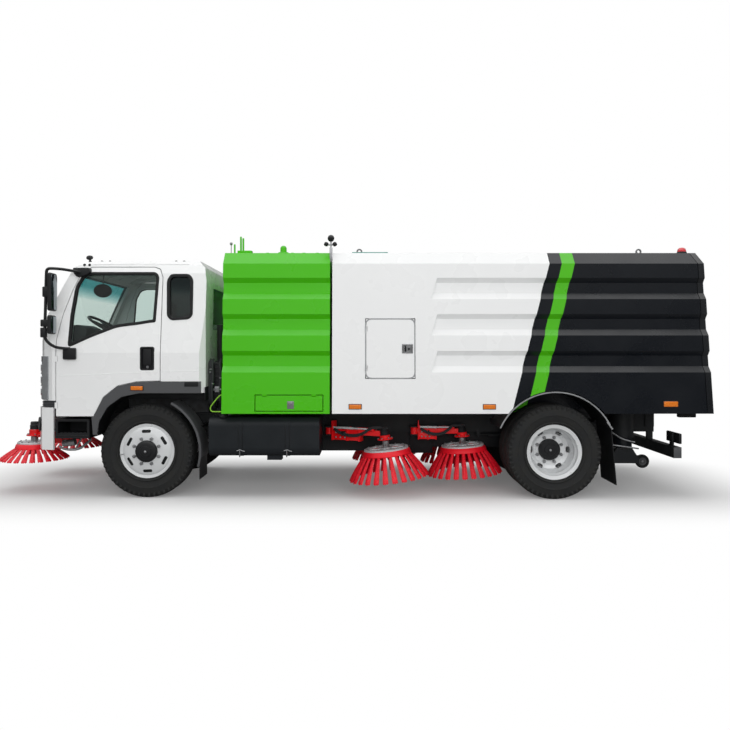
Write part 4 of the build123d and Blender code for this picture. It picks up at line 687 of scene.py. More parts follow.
# ---------------------------------------------------------------- sub-assemblies
@dataclass
class SolidFinishes:
    """Finishes of the truck's own solids."""

    def build(self) -> None:
        """Give each solid the finish of what it is made of."""
        table = {
            CHASSIS: ("chassis_frame", "front_axle", "rear_axle_and_shaft", "leaf_springs", "underride_guard",
                      "tie_rod", "knuckle_left", "knuckle_right", "tip_barrels"),
            CAST: ("engine_blocks",), TANK_BLACK: ("side_tanks",), CHROME: ("tip_rods",),
            BLACK_PLASTIC: ("mudguards_and_aprons", "cab_steps", "intake_stack"),
            PLAIN_WHITE: ("front_bumper",), TANK_WHITE: ("tank_shell", "access_door"),
            GREEN: ("module_shell", "module_hatch"), TAIL_BLACK: ("tail_door", "suction_nozzle"),
            CAB_WHITE: ("cab_shell",), GREY_PLASTIC: ("cab_trim",),
            CLEAR_LENS: ("headlamps",), SCREEN: ("cab_glass",),
            TYRE: ("front_tyre_left", "front_tyre_right", "rear_tyres_left", "rear_tyres_right"),
            RIM: ("front_rim_left", "front_rim_right", "rear_rims_left", "rear_rims_right"),
        }
        for finish, nodes in table.items():
            for node in nodes:
                mesh = frame["nodes"][node].data
                mesh.materials.clear()
                mesh.materials.append(finish.material())
        log.info("finishes laid on %d solids", len(frame["nodes"]))


@dataclass
class Wheels:
    """Nuts, caps, valves, shoulder blocks and sidewall rings of the wheels."""

    nut_circle: float = 137.0
    nuts: int = 8
    nut_across: float = 32.0
    shoulder_blocks: int = 54
    tyre_half: float = 117.5
    slots: int = 6

    def build(self) -> None:
        """Make the left wheels' pieces and their right-hand twins."""
        self.dress_wheel("front", "front_wheel_left", 0, 870.0, 978.0, 52)
        self.front_disc()
        self.dress_wheel("rear", "rear_wheels_left", WHEELBASE, 967.5, 839.0, 62)

    def dress_wheel(self, axle: str, body: str, station: float, tyre_y: float, face: float,
                    cap: float) -> None:
        """Pieces of one left wheel.

        Args:
            axle: front or rear.
            body: the body that turns with the wheel.
            station: the wheel's station.
            tyre_y: lateral place of the outer tyre's middle.
            face: lateral place of the disc's face that the nuts sit on.
            cap: how far the hub cap stands out from that face.
        """
        outwards = placed(spot(station, 0, WHEEL_RADIUS), ACROSS)
        on_face = lifted(outwards, face)
        dress_sides(f"{axle}_wheel_nuts_left", copies(
            hex_bolt(self.nut_across, 24, 12), ring_of(self.nuts, self.nut_circle, on_face, 0.5)), ZINC, body)
        domed = [(0, cap - 22), (94, cap - 22), (106, 1), (113, 1), (112, cap * 0.5), (104, cap - 14),
                 (92, cap - 8), (60, cap - 6), (56, cap), (30, cap + 4), (0, cap + 5)]
        dress_sides(f"{axle}_hub_cap_left", lathe(domed, on_face), BLACK_PLASTIC, body)
        plug = [(0, cap + 3), (13, cap + 3), (12, cap + 9), (7, cap + 13), (0, cap + 14)]
        dress_sides(f"{axle}_cap_plug_left", lathe(plug, on_face, 24), ZINC, body)
        outer = lifted(outwards, tyre_y + self.tyre_half)
        ridges = [lathe([(radius, -3), (radius + 5, 2), (radius + 11, 2), (radius + 16, -3)], outer, 72)
                  for radius in (298, 372)]
        dress_sides(f"{axle}_sidewall_rings_left", ridges, TYRE, body)
        lug = cube((0, 0, -0.016), (0.044, 0.024, 0.028), 4)
        lug.data.transform(Matrix.Rotation(radians(-14), 4, "Y"))
        dress_sides(f"{axle}_shoulder_blocks_left", copies(lug, ring_of(
            self.shoulder_blocks, WHEEL_RADIUS - 34, outer)), TYRE, body)
        stem = tube([outwards @ Vector((across, 0.03, (face + out) * MM))
                     for across, out in ((0.236, 2), (0.240, 28), (0.262, 52))], 4.5)
        dress_sides(f"{axle}_valve_left", stem, ZINC, body)

    def front_disc(self) -> None:
        """Outer face of the front wheel's disc, with its slots, and a dark ring behind them as painted shade.
        """
        axis = placed(spot(0, 0, WHEEL_RADIUS), ACROSS)
        skin = [(108, 977), (108, 980.5), (166, 980.5), (192, 977), (226, 968), (250, 961), (257, 952),
                (255, 948), (248, 956), (225, 963), (191, 972.5), (166, 977)]
        face = lathe(skin, axis, 72)
        slot = side_sheet(rounded(((-47, -16), (47, -16), (47, 16), (-47, 16)), 20), 0, 200, 0)
        slot.data.transform(Matrix.Translation((-at(0), 0, 0.205)))
        hub = Matrix.Translation(spot(0, 880, WHEEL_RADIUS))
        turns = [Matrix.Rotation(radians(2 + 360 * index / self.slots), 4, "Y")
                 for index in range(self.slots)]
        carved(face, copies(slot, [hub @ turn for turn in turns]))
        dress_sides("front_disc_face_left", eased(face), RIM, "front_wheel_left")
        # painted shade: a dark ring just behind the slots stands for the shade seen through them
        shade_ring = [(176, 972), (205, 963.5), (236, 956), (236, 953), (205, 960), (176, 969)]
        dress_sides("front_disc_backing_left", lathe(shade_ring, axis, 60), SEAL, "front_wheel_left")


@dataclass
class BrushSet:
    """One kind of round brush: bristle tufts in a moulded base, bolted below a spoked ring."""

    place: str
    ring: float
    tip: float
    fall: float
    inset: float = 12.0
    tufts: int = 26
    ridges: int = 9
    base_depth: float = 46.0
    root_drop: float = 62.0

    def build(self) -> None:
        """Make both brushes of the kind, each on its own spin axis."""
        for side in SIDES:
            joint = JOINTS[f"{self.place}_brush_spin_{side}"]
            placement = placed(Vector(joint["pos_m"]), joint["axis"])
            body = f"{self.place}_brush_{side}"
            dress(f"{self.place}_tufts_{side}", copies(self.tuft(), ring_of(self.tufts, 0, placement)),
                  BRISTLE, body, body)
            top, foot = -24, -24 - self.base_depth
            base = [(self.ring - 50, top), (self.ring - 6, top + 3), (self.ring + 6, top - 10),
                    (self.ring + 17, foot), (self.ring + 8, foot - 8), (self.ring - 40, foot)]
            dress(f"{self.place}_base_{side}", lathe(base, placement, 60), BRISTLE_BASE, body)
            self.top_ring(side, placement, body)

    def tuft(self) -> Object:
        """One bundle of bristles in the XZ plane, thin at its root and frayed at its foot."""
        sides = self.ridges * 2
        root, foot = self.ring - 8, self.tip - self.inset
        # share of the length, depth and width in millimetres
        rows = ((0.0, 12, 15), (0.25, 14, 19), (0.55, 17, 24), (0.85, 19, 29), (0.96, 18, 29), (1.0, 11, 20))
        points = []
        for share, deep, wide in rows:
            bow = 4 * share * (1 - share) * 5
            middle = Vector((root + (foot - root) * share + bow, 0,
                             -self.root_drop - (self.fall - self.root_drop) * share + bow * 0.4))
            for index in range(sides):
                angle = 2 * pi * index / sides
                groove = 1.0 if index % 2 else 0.8
                fray = (-6 if index % 4 == 1 else 2) * (share > 0.9)
                points.append((middle + Vector((cos(angle) * deep * groove, sin(angle) * wide * groove,
                                                fray))) * MM)
        faces = [(row * sides + index, row * sides + (index + 1) % sides,
                  (row + 1) * sides + (index + 1) % sides, (row + 1) * sides + index)
                 for row in range(len(rows) - 1) for index in range(sides)]
        faces += [tuple(reversed(range(sides))), tuple(range((len(rows) - 1) * sides, len(rows) * sides))]
        piece = drawn(points, [], faces)
        with editing():
            bpy.ops.mesh.normals_make_consistent(inside=False)
        return piece

    def top_ring(self, side: str, placement: Matrix, body: str) -> None:
        """Plated ring with its spokes, hub and bolts."""
        rim = lathe([(self.ring - 56, -22), (self.ring - 8, -22), (self.ring - 8, -6),
                     (self.ring - 14, -2), (self.ring - 50, -2), (self.ring - 56, -6)], placement, 60)
        hub = lathe([(0, -26), (56, -26), (62, -20), (62, -4), (46, 0), (0, 0)], placement, 32)
        reach = (self.ring - 100) * MM
        spoke = cube((0.05 + reach / 2, 0, -0.014), (reach, 0.026, 0.014), 2)
        dress(f"{self.place}_top_ring_{side}", [rim, hub, copies(spoke, ring_of(6, 0, placement))],
              PLATED_RING, body)
        dress(f"{self.place}_ring_bolts_{side}", copies(
            hex_bolt(17, 10), ring_of(12, self.ring - 32, lifted(placement, -2))), ZINC, body)


@dataclass
class CabSides:
    """Doors, window seals, panes, seams, lamps, handles and steps of the cab's two sides."""

    window: Outline = ((-775, 1588), (-763, 1890), (-726, 2190), (-662, 2298), (-590, 2320), (70, 2320),
                       (95, 2290), (75, 1838), (45, 1836), (-100, 1812), (-302, 1788), (-567, 1684))
    quarter: Outline = ((235, 1890), (222, 2250), (250, 2300), (420, 2300), (450, 2260), (455, 1900),
                        (430, 1870), (265, 1860))
    sill: Outline = ((-775, 1580), (-560, 1650), (-330, 1728), (40, 1790), (80, 1826), (80, 1846), (45, 1838),
                     (-100, 1814), (-302, 1790), (-567, 1686), (-775, 1592))
    handle_span: tuple[float, float] = (-45, 88)
    handle_heights: tuple[float, float] = (1329, 1557)

    def build(self) -> None:
        """Make the left side's pieces and their right-hand twins."""
        self.door_skins()
        self.panes()
        self.seals()
        self.seams()
        self.studs()
        self.handles()
        self.lamps_and_steps()

    def door_skins(self) -> None:
        """Doors whose window reaches closer to the sloping pillar, cut to its outline."""
        for side, reach in (("left", (850, 1120)), ("right", (-850, -1120))):
            panel = linked(frame["nodes"][f"door_{side}"].data.copy())
            with editing():
                bpy.ops.mesh.remove_doubles(threshold=1e-5)
            carved(panel, side_sheet(rounded(self.window, 40), *reach, 0))
            select(panel)
            bpy.ops.mesh.customdata_custom_splitnormals_clear()
            dress(f"door_skin_{side}", eased(panel, smooth=3), CAB_WHITE, f"door_{side}", f"door_{side}")

    def panes(self) -> None:
        """Raised sill and pane of the door, and the dark quarter window."""
        for name, outline, y_from, y_to, finish, body, *nodes in (
                ("door_sill_left", self.sill, 1012, 1040.4, CAB_WHITE, "door_left"),
                ("door_pane_left", rounded(grown(self.window, 10), 40), 1014, 1019, WINDOW, "door_left",
                 "door_glass_left"),
                ("quarter_tint_left", rounded(self.quarter, 40), 1004, 1007, PRIVACY, "cab")):
            dress_sides(name, leaned(side_sheet(outline, y_from, y_to, 0)), finish, body, *nodes)

    def seals(self) -> None:
        """Rubber round the door's window, wide along its sloping pillar, and round the quarter window."""
        for name, outline, width, radii, proud, body in (
                ("door_window_seal_left", self.window, -8, (56, 34), 5, "door_left"),
                ("quarter_window_seal_left", self.quarter, -9, (60, 48), 8, "cab")):
            seal = ring_sheet(rounded(grown(outline, 24), radii[0]), rounded(grown(outline, width), radii[1]),
                              CAB_HALF - 24, CAB_HALF + proud, 4)
            dress_sides(name, leaned(seal), SEAL, body)

    def seams(self) -> None:
        """Pressed crease along the door and the side, and the gutter above the door."""
        for name, start, end, body in (("door_crease_left", (-880, 1263), (140, 1307), "door_left"),
                                       ("side_crease_left", (170, 1309), (560, 1318), "cab")):
            ends = [spot(station, CAB_HALF - 1, height) for station, height in (start, end)]
            dress_sides(name, bar(*ends, 3.5, 8, 0), CAB_WHITE, body)
        gutter = tube(spots((-600, 888, 2426), (-300, 886, 2432), (150, 886, 2432), (420, 886, 2428)), 4)
        dress_sides("gutter_left", gutter, CAB_WHITE, "cab")

    def studs(self) -> None:
        """Studs of the pillar and the roof, and the horn."""
        for name, radius, top, y, height, axis, stations in (
                ("pillar_studs_left", 14, 10, 893, 2422, (0, 1, 0.6), (-678, -625)),
                ("roof_studs_left", 13, 9, 770, 2474, (0, 0.1, 1), (-540, -455, 250, 335))):
            stud = lathe([(0, -2), (radius, -2), (radius, 5), (radius - 5, top - 1), (0, top)], steps=16)
            dress_sides(name, copies(stud, [placed(spot(station, y, height), axis) for station in stations]),
                        BLACK_PLASTIC, "cab")
        horn = lathe([(0, 0), (24, 0), (20, 14), (12, 24), (12, 38), (30, 46), (36, 60), (30, 76), (12, 84),
                      (0, 86)], placed(spot(-690, 700, 2462), (0.15, 0, 1)), 24)
        dress("roof_horn", horn, BLACK_PLASTIC, "cab")

    def handles(self) -> None:
        """Recessed door handle with its surround, paddle and lock, and the grip behind the door."""
        (front, rear), (low, high) = self.handle_span, self.handle_heights
        recess = boxed(self.handle_span, self.handle_heights)
        surround = ring_sheet(rounded(grown(recess, 7), 22), rounded(grown(recess, -9), 16),
                              CAB_HALF - 24, CAB_HALF + 3, 2)
        bed = block((front + 3, rear - 3), (CAB_HALF - 26, CAB_HALF - 22), (low + 3, high - 3), 1)
        paddle = side_sheet(rounded(boxed((front + 22, rear - 22), (low + 46, high - 14)), 20),
                            CAB_HALF - 20, CAB_HALF - 4, 5)
        lock = lathe([(0, 0), (14, 0), (14, 8), (11, 11), (0, 11)],
                     placed(spot((front + rear) / 2, CAB_HALF - 22, low + 26), ACROSS), 24)
        dress_sides("door_handle_left", [surround, bed, paddle], BLACK_PLASTIC, "door_left")
        dress_sides("door_lock_left", lock, ZINC, "door_left")
        grip = block((408, 551), (CAB_HALF + 10, CAB_HALF + 20), (1155, 1203), 5)
        dress_sides("side_grip_left", grip, BLACK_PLASTIC, "cab")

    def lamps_and_steps(self) -> None:
        """Amber turn lamp on the arch trim, cleats on the step's tread and ribs across its well."""
        base = block((-145, -12), (CAB_HALF + 11, CAB_HALF + 17), (1114, 1165), 2.5)
        lens = block((-140, -17), (CAB_HALF + 15, CAB_HALF + 28), (1119, 1160), 6, 3)
        dress_sides("turn_lamp_base_left", base, BLACK_PLASTIC, "cab")
        dress_sides("turn_lamp_left", lens, AMBER, "cab")
        cleat = block((-12, 12), (-70, 70), (-2, 6), 2)
        cleat.data.transform(Matrix.Translation((-at(0), 0, 0)))
        cleats = copies(cleat, [placed(spot(-870 + 40 * index, 942, 675)) for index in range(7)])
        dress_sides("step_cleats_left", cleats, BLACK_PLASTIC, "chassis")
        ribs = [block((-918, -582), (1024, 1034), (height, height + 12)) for height in (640, 806)]
        dress_sides("step_ribs_left", ribs, BLACK_PLASTIC, "chassis")


@dataclass
class Mirrors:
    """Door mirrors: bent arm, clamps, shells and glass."""

    reach: float = 1205.0

    def build(self) -> None:
        """Make the left mirror set and its right-hand twin."""
        arm = tube(spots((-690, 955, 2336), (-790, 1080, 2352), *(
            (station, self.reach, height) for station, height in ((-870, 2350), (-934, 2348), (-940, 2290),
                                                                  (-946, 2000), (-955, 1720), (-957, 1640))),
            (-890, self.reach - 30, 1566), (-820, 1100, 1546), (-760, 1064, 1545)), 15, sides=3)
        foot = block((-830, -700), (1041, 1084), (1432, 1552), 12, 3)
        cap = side_sheet(rounded(((-771, 2384), (-596, 2384), (-590, 2334), (-640, 2304), (-728, 2286),
                                  (-764, 2330)), 14), 912, 972, 8)
        clamps = [block((front, rear), (self.reach - half, self.reach + half), heights, 9)
                  for front, rear, half, heights in (
                      (-972, -914, 26, (2062, 2166)), (-990, -912, 28, (1764, 1836)),
                      (-994, -936, 24, (1656, 1756)))]
        clamps += [bar(spot(-940, self.reach, height), spot(-880, self.reach - 10, height), 14, 16)
                   for height in (2114, 1800)]
        dress_sides("mirror_frame_left", [arm, foot, cap, *clamps], BLACK_PLASTIC, "door_left", "mirror_left")
        for name, stations, heights, outer in (("main", (-908, -864), (1922, 2304), 64),
                                               ("wide", (-914, -872), (1690, 1880), 54)):
            ys = (self.reach - 84, self.reach + outer)
            dress_sides(f"{name}_mirror_shell_left", block(stations, ys, heights, 19, 5), BLACK_PLASTIC,
                        "door_left")
            (near, far), (low, high) = ys, heights
            pane = rounded(((near + 10, low + 12), (far - 10, low + 12), (far - 10, high - 12),
                            (near + 10, high - 12)), 34)
            glass = sheet([spot(stations[1] - 2, y, z) for y, z in pane], Vector((-4 * MM, 0, 0)), 1)
            dress_sides(f"{name}_mirror_glass_left", glass, MIRROR, "door_left")


@dataclass
class CabFront:
    """Wipers, cowl, screen rubber, lamp inserts and bumper fittings of the nose."""

    side: Outline = ((-1185, 1010), (-1190, 1120), (-1180, 1440), (-1090, 1736), (-990, 1960), (-850, 2250),
                     (-770, 2400))
    plan: Outline = ((0, -1195), (500, -1183), (760, -1160), (880, -1125), (970, -1065), (1040, -955))
    bumper: float = -1205.0

    def nose(self, y: float, height: float, proud: float) -> Vector:
        """Point on the nose's skin, stood off it by some millimetres."""
        station = -1195.0
        for (first, low), (second, high) in zip(self.side, self.side[1:]):
            if low <= height <= high:
                station = first + (second - first) * (height - low) / (high - low)
        for (near, first), (far, second) in zip(self.plan, self.plan[1:]):
            if near <= abs(y) <= far:
                station = max(station, first + (second - first) * (abs(y) - near) / (far - near))
        return spot(station - proud, y, height)

    def skin(self, ys: Sequence[float], heights: Sequence[float], proud: float, thick: float) -> Object:
        """Sheet that follows the nose over a grid of lateral places and heights."""
        wide = len(ys)
        faces = [(row * wide + column, row * wide + column + 1, (row + 1) * wide + column + 1,
                  (row + 1) * wide + column) for row in range(len(heights) - 1) for column in range(wide - 1)]
        return sheet([self.nose(y, height, proud) for height in heights for y in ys],
                     Vector((-thick * MM, 0, 0)), 1.5, faces)

    def build(self) -> None:
        """Make the pieces of the nose and of the bumper."""
        cowl = self.skin([-800 + 100 * index for index in range(17)], (1462, 1500, 1548), 0, 6)
        dress("screen_cowl", cowl, BLACK_PLASTIC, "cab")
        loop = [(-825 + 150 * index, 1566) for index in range(12)]
        loop += [(825 - 0.078 * (height - 1566), height) for height in (1700, 1900, 2100, 2320)]
        loop += [(765 - 153 * index, 2326) for index in range(1, 11)]
        loop += [(-825 + 0.078 * (height - 1566), height) for height in (2320, 2100, 1900, 1700)]
        rubber = tube([self.nose(y, height, 1) for y, height in loop], 11, closed=True)
        dress("screen_rubber", rubber, SEAL, "cab")
        self.wipers()
        self.lamp_inserts()
        self.bumper_fittings()

    def wipers(self) -> None:
        """Two parked wipers with their pivots."""
        pieces = []
        for pivot, tip in ((-120, -760), (640, 20)):
            elbow = self.nose(pivot + (tip - pivot) * 0.5, 1604, 22)
            blade = [self.nose(pivot + (tip - pivot) * share, 1584 + 34 * share, 12)
                     for share in (0.05, 0.25, 0.5, 0.75, 1.0)]
            pieces += [lathe([(0, 0), (22, 0), (22, 14), (14, 26), (0, 28)],
                             placed(self.nose(pivot, 1530, 4), (1, 0, 0.25)), 20),
                       tube([self.nose(pivot, 1530, 26), self.nose(pivot - 40, 1560, 28), elbow], 5),
                       tube(blade, 6)]
        dress("wipers", pieces, BLACK_PLASTIC, "cab")

    def lamp_inserts(self) -> None:
        """Bright cups and dark dividers in the tall headlamps."""
        cup = [(0, -2), (20, 2), (42, 6), (52, 15), (57, 15), (57, -4)]
        cups = [lathe(cup, placed(self.nose(826, height, 10), (1, 0.42, 0)), 32)
                for height in (1110, 1236, 1362)]
        dress_sides("headlamp_cups_left", cups, CHROME, "cab")
        bands = [self.skin((770, 830, 900, 960, 1010), (height, height + 16), 13, 3)
                 for height in (1036, 1168, 1294, 1428)]
        dress_sides("headlamp_bands_left", bands, BLACK_PLASTIC, "cab")

    def bumper_fittings(self) -> None:
        """Fog lamps, air intake, step pads and the fine bars of the dark corner pieces."""
        face = self.bumper
        lamp = placed(spot(face + 68, 905, 757), (0.86, 0.5, 0))
        dress_sides("fog_lens_left", lathe([(0, 13), (30, 12), (47, 6), (47, -30), (0, -30)], lamp, 32),
                    CLEAR_LENS, "chassis", "chassis_lamps")
        surround = [(47, 7), (50, 15), (70, 12), (76, 3), (72, -4), (47, -4)]
        dress_sides("fog_surround_left", lathe(surround, lamp, 40), BLACK_PLASTIC, "chassis")
        slats = [block((face - 3, face + 12), (-560, 560), (height, height + 13))
                 for height in (838, 862, 886)]
        bed = block((face - 1, face + 10), (-575, 575), (830, 906), 2)
        dress("bumper_intake", [bed, *slats], BLACK_PLASTIC, "chassis")
        pads = [block((face + 8, face + 60), (y, y + 120), (937, 941), 1.5) for y in (-700, -300, 180, 580)]
        dress("bumper_pads", pads, BLACK_PLASTIC, "chassis")
        bars = [block((-1066, -925), (1006, 1016), (height, height + 7), 2)
                for height in (950, 966, 982, 998)]
        dress_sides("corner_mesh_left", bars, BLACK_PLASTIC, "cab")


@dataclass
class CabInside:
    """Seats, dashboard, steering wheel and round mirror, seen through the glass."""

    driver_y: float = 560.0
    wheel: tuple[float, float] = (-560, 1785)
    floor: float = 1060.0

    def build(self) -> None:
        """Make all that stands in the cab."""
        y = self.driver_y
        dash = side_sheet(((-1096, 1162), (-884, 1162), (-784, 1402), (-800, 1494), (-870, 1528),
                           (-1050, 1532), (-1096, 1500)), -872, 872, 14)
        hood = side_sheet(((-1000, 1500), (-975, 1718), (-900, 1788), (-790, 1802), (-694, 1758),
                           (-698, 1700), (-790, 1486)), y - 228, y + 228, 22)
        centre = side_sheet(((-1000, 1500), (-930, 1600), (-800, 1600), (-770, 1400), (-800, 1380)),
                            -260, 260, 14)
        dress("dashboard", [dash, hood, centre], INTERIOR, "cab", "cab_interior")
        vents = [block((-812, -794), (y, y + 110), (1440 + 14 * row, 1446 + 14 * row), 2)
                 for y in (-780, -440, 760) for row in range(4)]
        dress("dash_vents", vents, BLACK_PLASTIC, "cab")
        self.steering()
        dress("engine_cover", block((-700, 300), (-228, 228), (self.floor, 1178), 40, 4), INTERIOR, "cab")
        lever = tube(spots((-420, 60, 1176), (-430, 70, 1330), (-470, 80, 1480)), 8)
        knob = lathe([(0, 0), (12, 0), (24, 20), (22, 44), (0, 54)], placed(spot(-470, 80, 1474)), 20)
        dress("gear_lever", [lever, knob], BLACK_PLASTIC, "cab")
        centre = spot(-705, 300, 2200)
        mirror = lathe([(0, -14), (60, -10), (94, 0), (98, 8), (90, 22), (50, 36), (0, 40)],
                       placed(centre, (-0.35, 0.9, -0.1)), 40)
        mirror.data.transform(Matrix.Translation(centre) @ Matrix.Diagonal((1, 1, 0.78, 1))
                              @ Matrix.Translation(-centre))
        dress("round_mirror", mirror, BLACK_PLASTIC, "cab")
        hanger = tube(spots((-700, 300, 2270), (-700, 296, 2330), (-690, 290, 2420)), 5)
        dress("mirror_hanger", hanger, BLACK_PLASTIC, "cab")
        for side, y in (("left", self.driver_y), ("right", -self.driver_y)):
            self.seat(side, y)

    def steering(self) -> None:
        """Wheel with its spokes and horn pad, on its column."""
        station, height = self.wheel
        place = placed(spot(station, self.driver_y, height), (-0.5, 0, 0.866))
        ring = [(215 + 15 * cos(2 * pi * index / 12), 15 * sin(2 * pi * index / 12)) for index in range(12)]
        pad = lathe([(0, -30), (52, -30), (66, -12), (60, 6), (40, 14), (0, 16)], place, 32)
        column = bar(spot(station - 213, self.driver_y, height - 369),
                     spot(station - 10, self.driver_y, height - 18), 30)
        spokes = copies(cube((0.13, 0, -0.003), (0.16, 0.034, 0.014), 4), ring_of(4, 0, place, 0.5))
        dress("steering_wheel", [lathe(ring, place), pad, column, spokes], BLACK_PLASTIC, "cab")

    def pad(self, length: float, ys: Sequence[float], heights: Sequence[float], crown: float,
            across: int, front: float) -> Object:
        """Crowned cushion with pulled-in sides and sewn channels.

        Args:
            length: its length.
            ys: its two sides.
            heights: its bottom and top.
            crown: how far its top swells, in millimetres.
            across: number of sewn channels.
            front: station of its front.

        Returns:
            The finished pad, upright and unturned.
        """
        stations = (front, front + length)
        piece = block(stations, ys, heights, 0)
        with editing():
            bpy.ops.mesh.subdivide(number_cuts=15)
        low, high = spot(max(stations), min(ys), min(heights)), spot(min(stations), max(ys), max(heights))
        middle, half = (low + high) / 2, (high - low) / 2
        for vertex in piece.data.vertices:
            u, v, w = ((vertex.co[axis] - middle[axis]) / half[axis] for axis in range(3))
            swell = (1 - u * u) * (1 - v * v)
            pinch = 1 - 0.035 * (u * u * v * v + 0.6 * w * w * (u * u + v * v))
            channel = sum(max(0.0, 1 - abs(v - (2 * (index + 1) / (across + 1) - 1)) * 14)
                          for index in range(across)) * 9 * MM
            vertex.co.x = middle.x + u * half.x * pinch
            vertex.co.y = middle.y + v * half.y * pinch
            vertex.co.z += (swell * crown * MM - channel * (abs(u) < 0.8)) * (w > 0.5)
        return eased(modified(piece, "SUBSURF", levels=1, render_levels=1))

    def seat(self, side: str, y: float) -> None:
        """One seat: cushion, leaning back, headrest and pedestal."""
        turn = Matrix.Rotation(radians(-97), 4, "Y") @ Matrix.Translation(-spot(0, 0, 0))
        # name, length, half width, heights, crown, channels, fill, front, and the foot of a leaning pad
        for name, length, half, heights, crown, across, fill, front, foot in (
                ("cushion", 492, 246, (1268, 1380), 20, 3, 0.8, -476, None),
                ("back", 600, 236, (-55, 42), 14, 3, 0.8, -300, spot(72, 0, 1690)),
                ("headrest", 160, 130, (-42, 32), 10, 0, 0.9, -80, spot(130, 0, 1968))):
            piece = self.pad(length, (y - half, y + half), heights, crown, across, front)
            if foot:
                piece.data.transform(Matrix.Translation(foot) @ turn)
            dress(f"seat_{name}_{side}", piece, SEAT_CLOTH, "cab")
        base = block((-400, -40), (y - 128, y + 128), (self.floor, 1200), 16, 3)
        slide = block((-440, 0), (y - 190, y + 190), (1200, 1262), 12, 3)
        dress(f"seat_base_{side}", [base, slide], BLACK_PLASTIC, "cab")


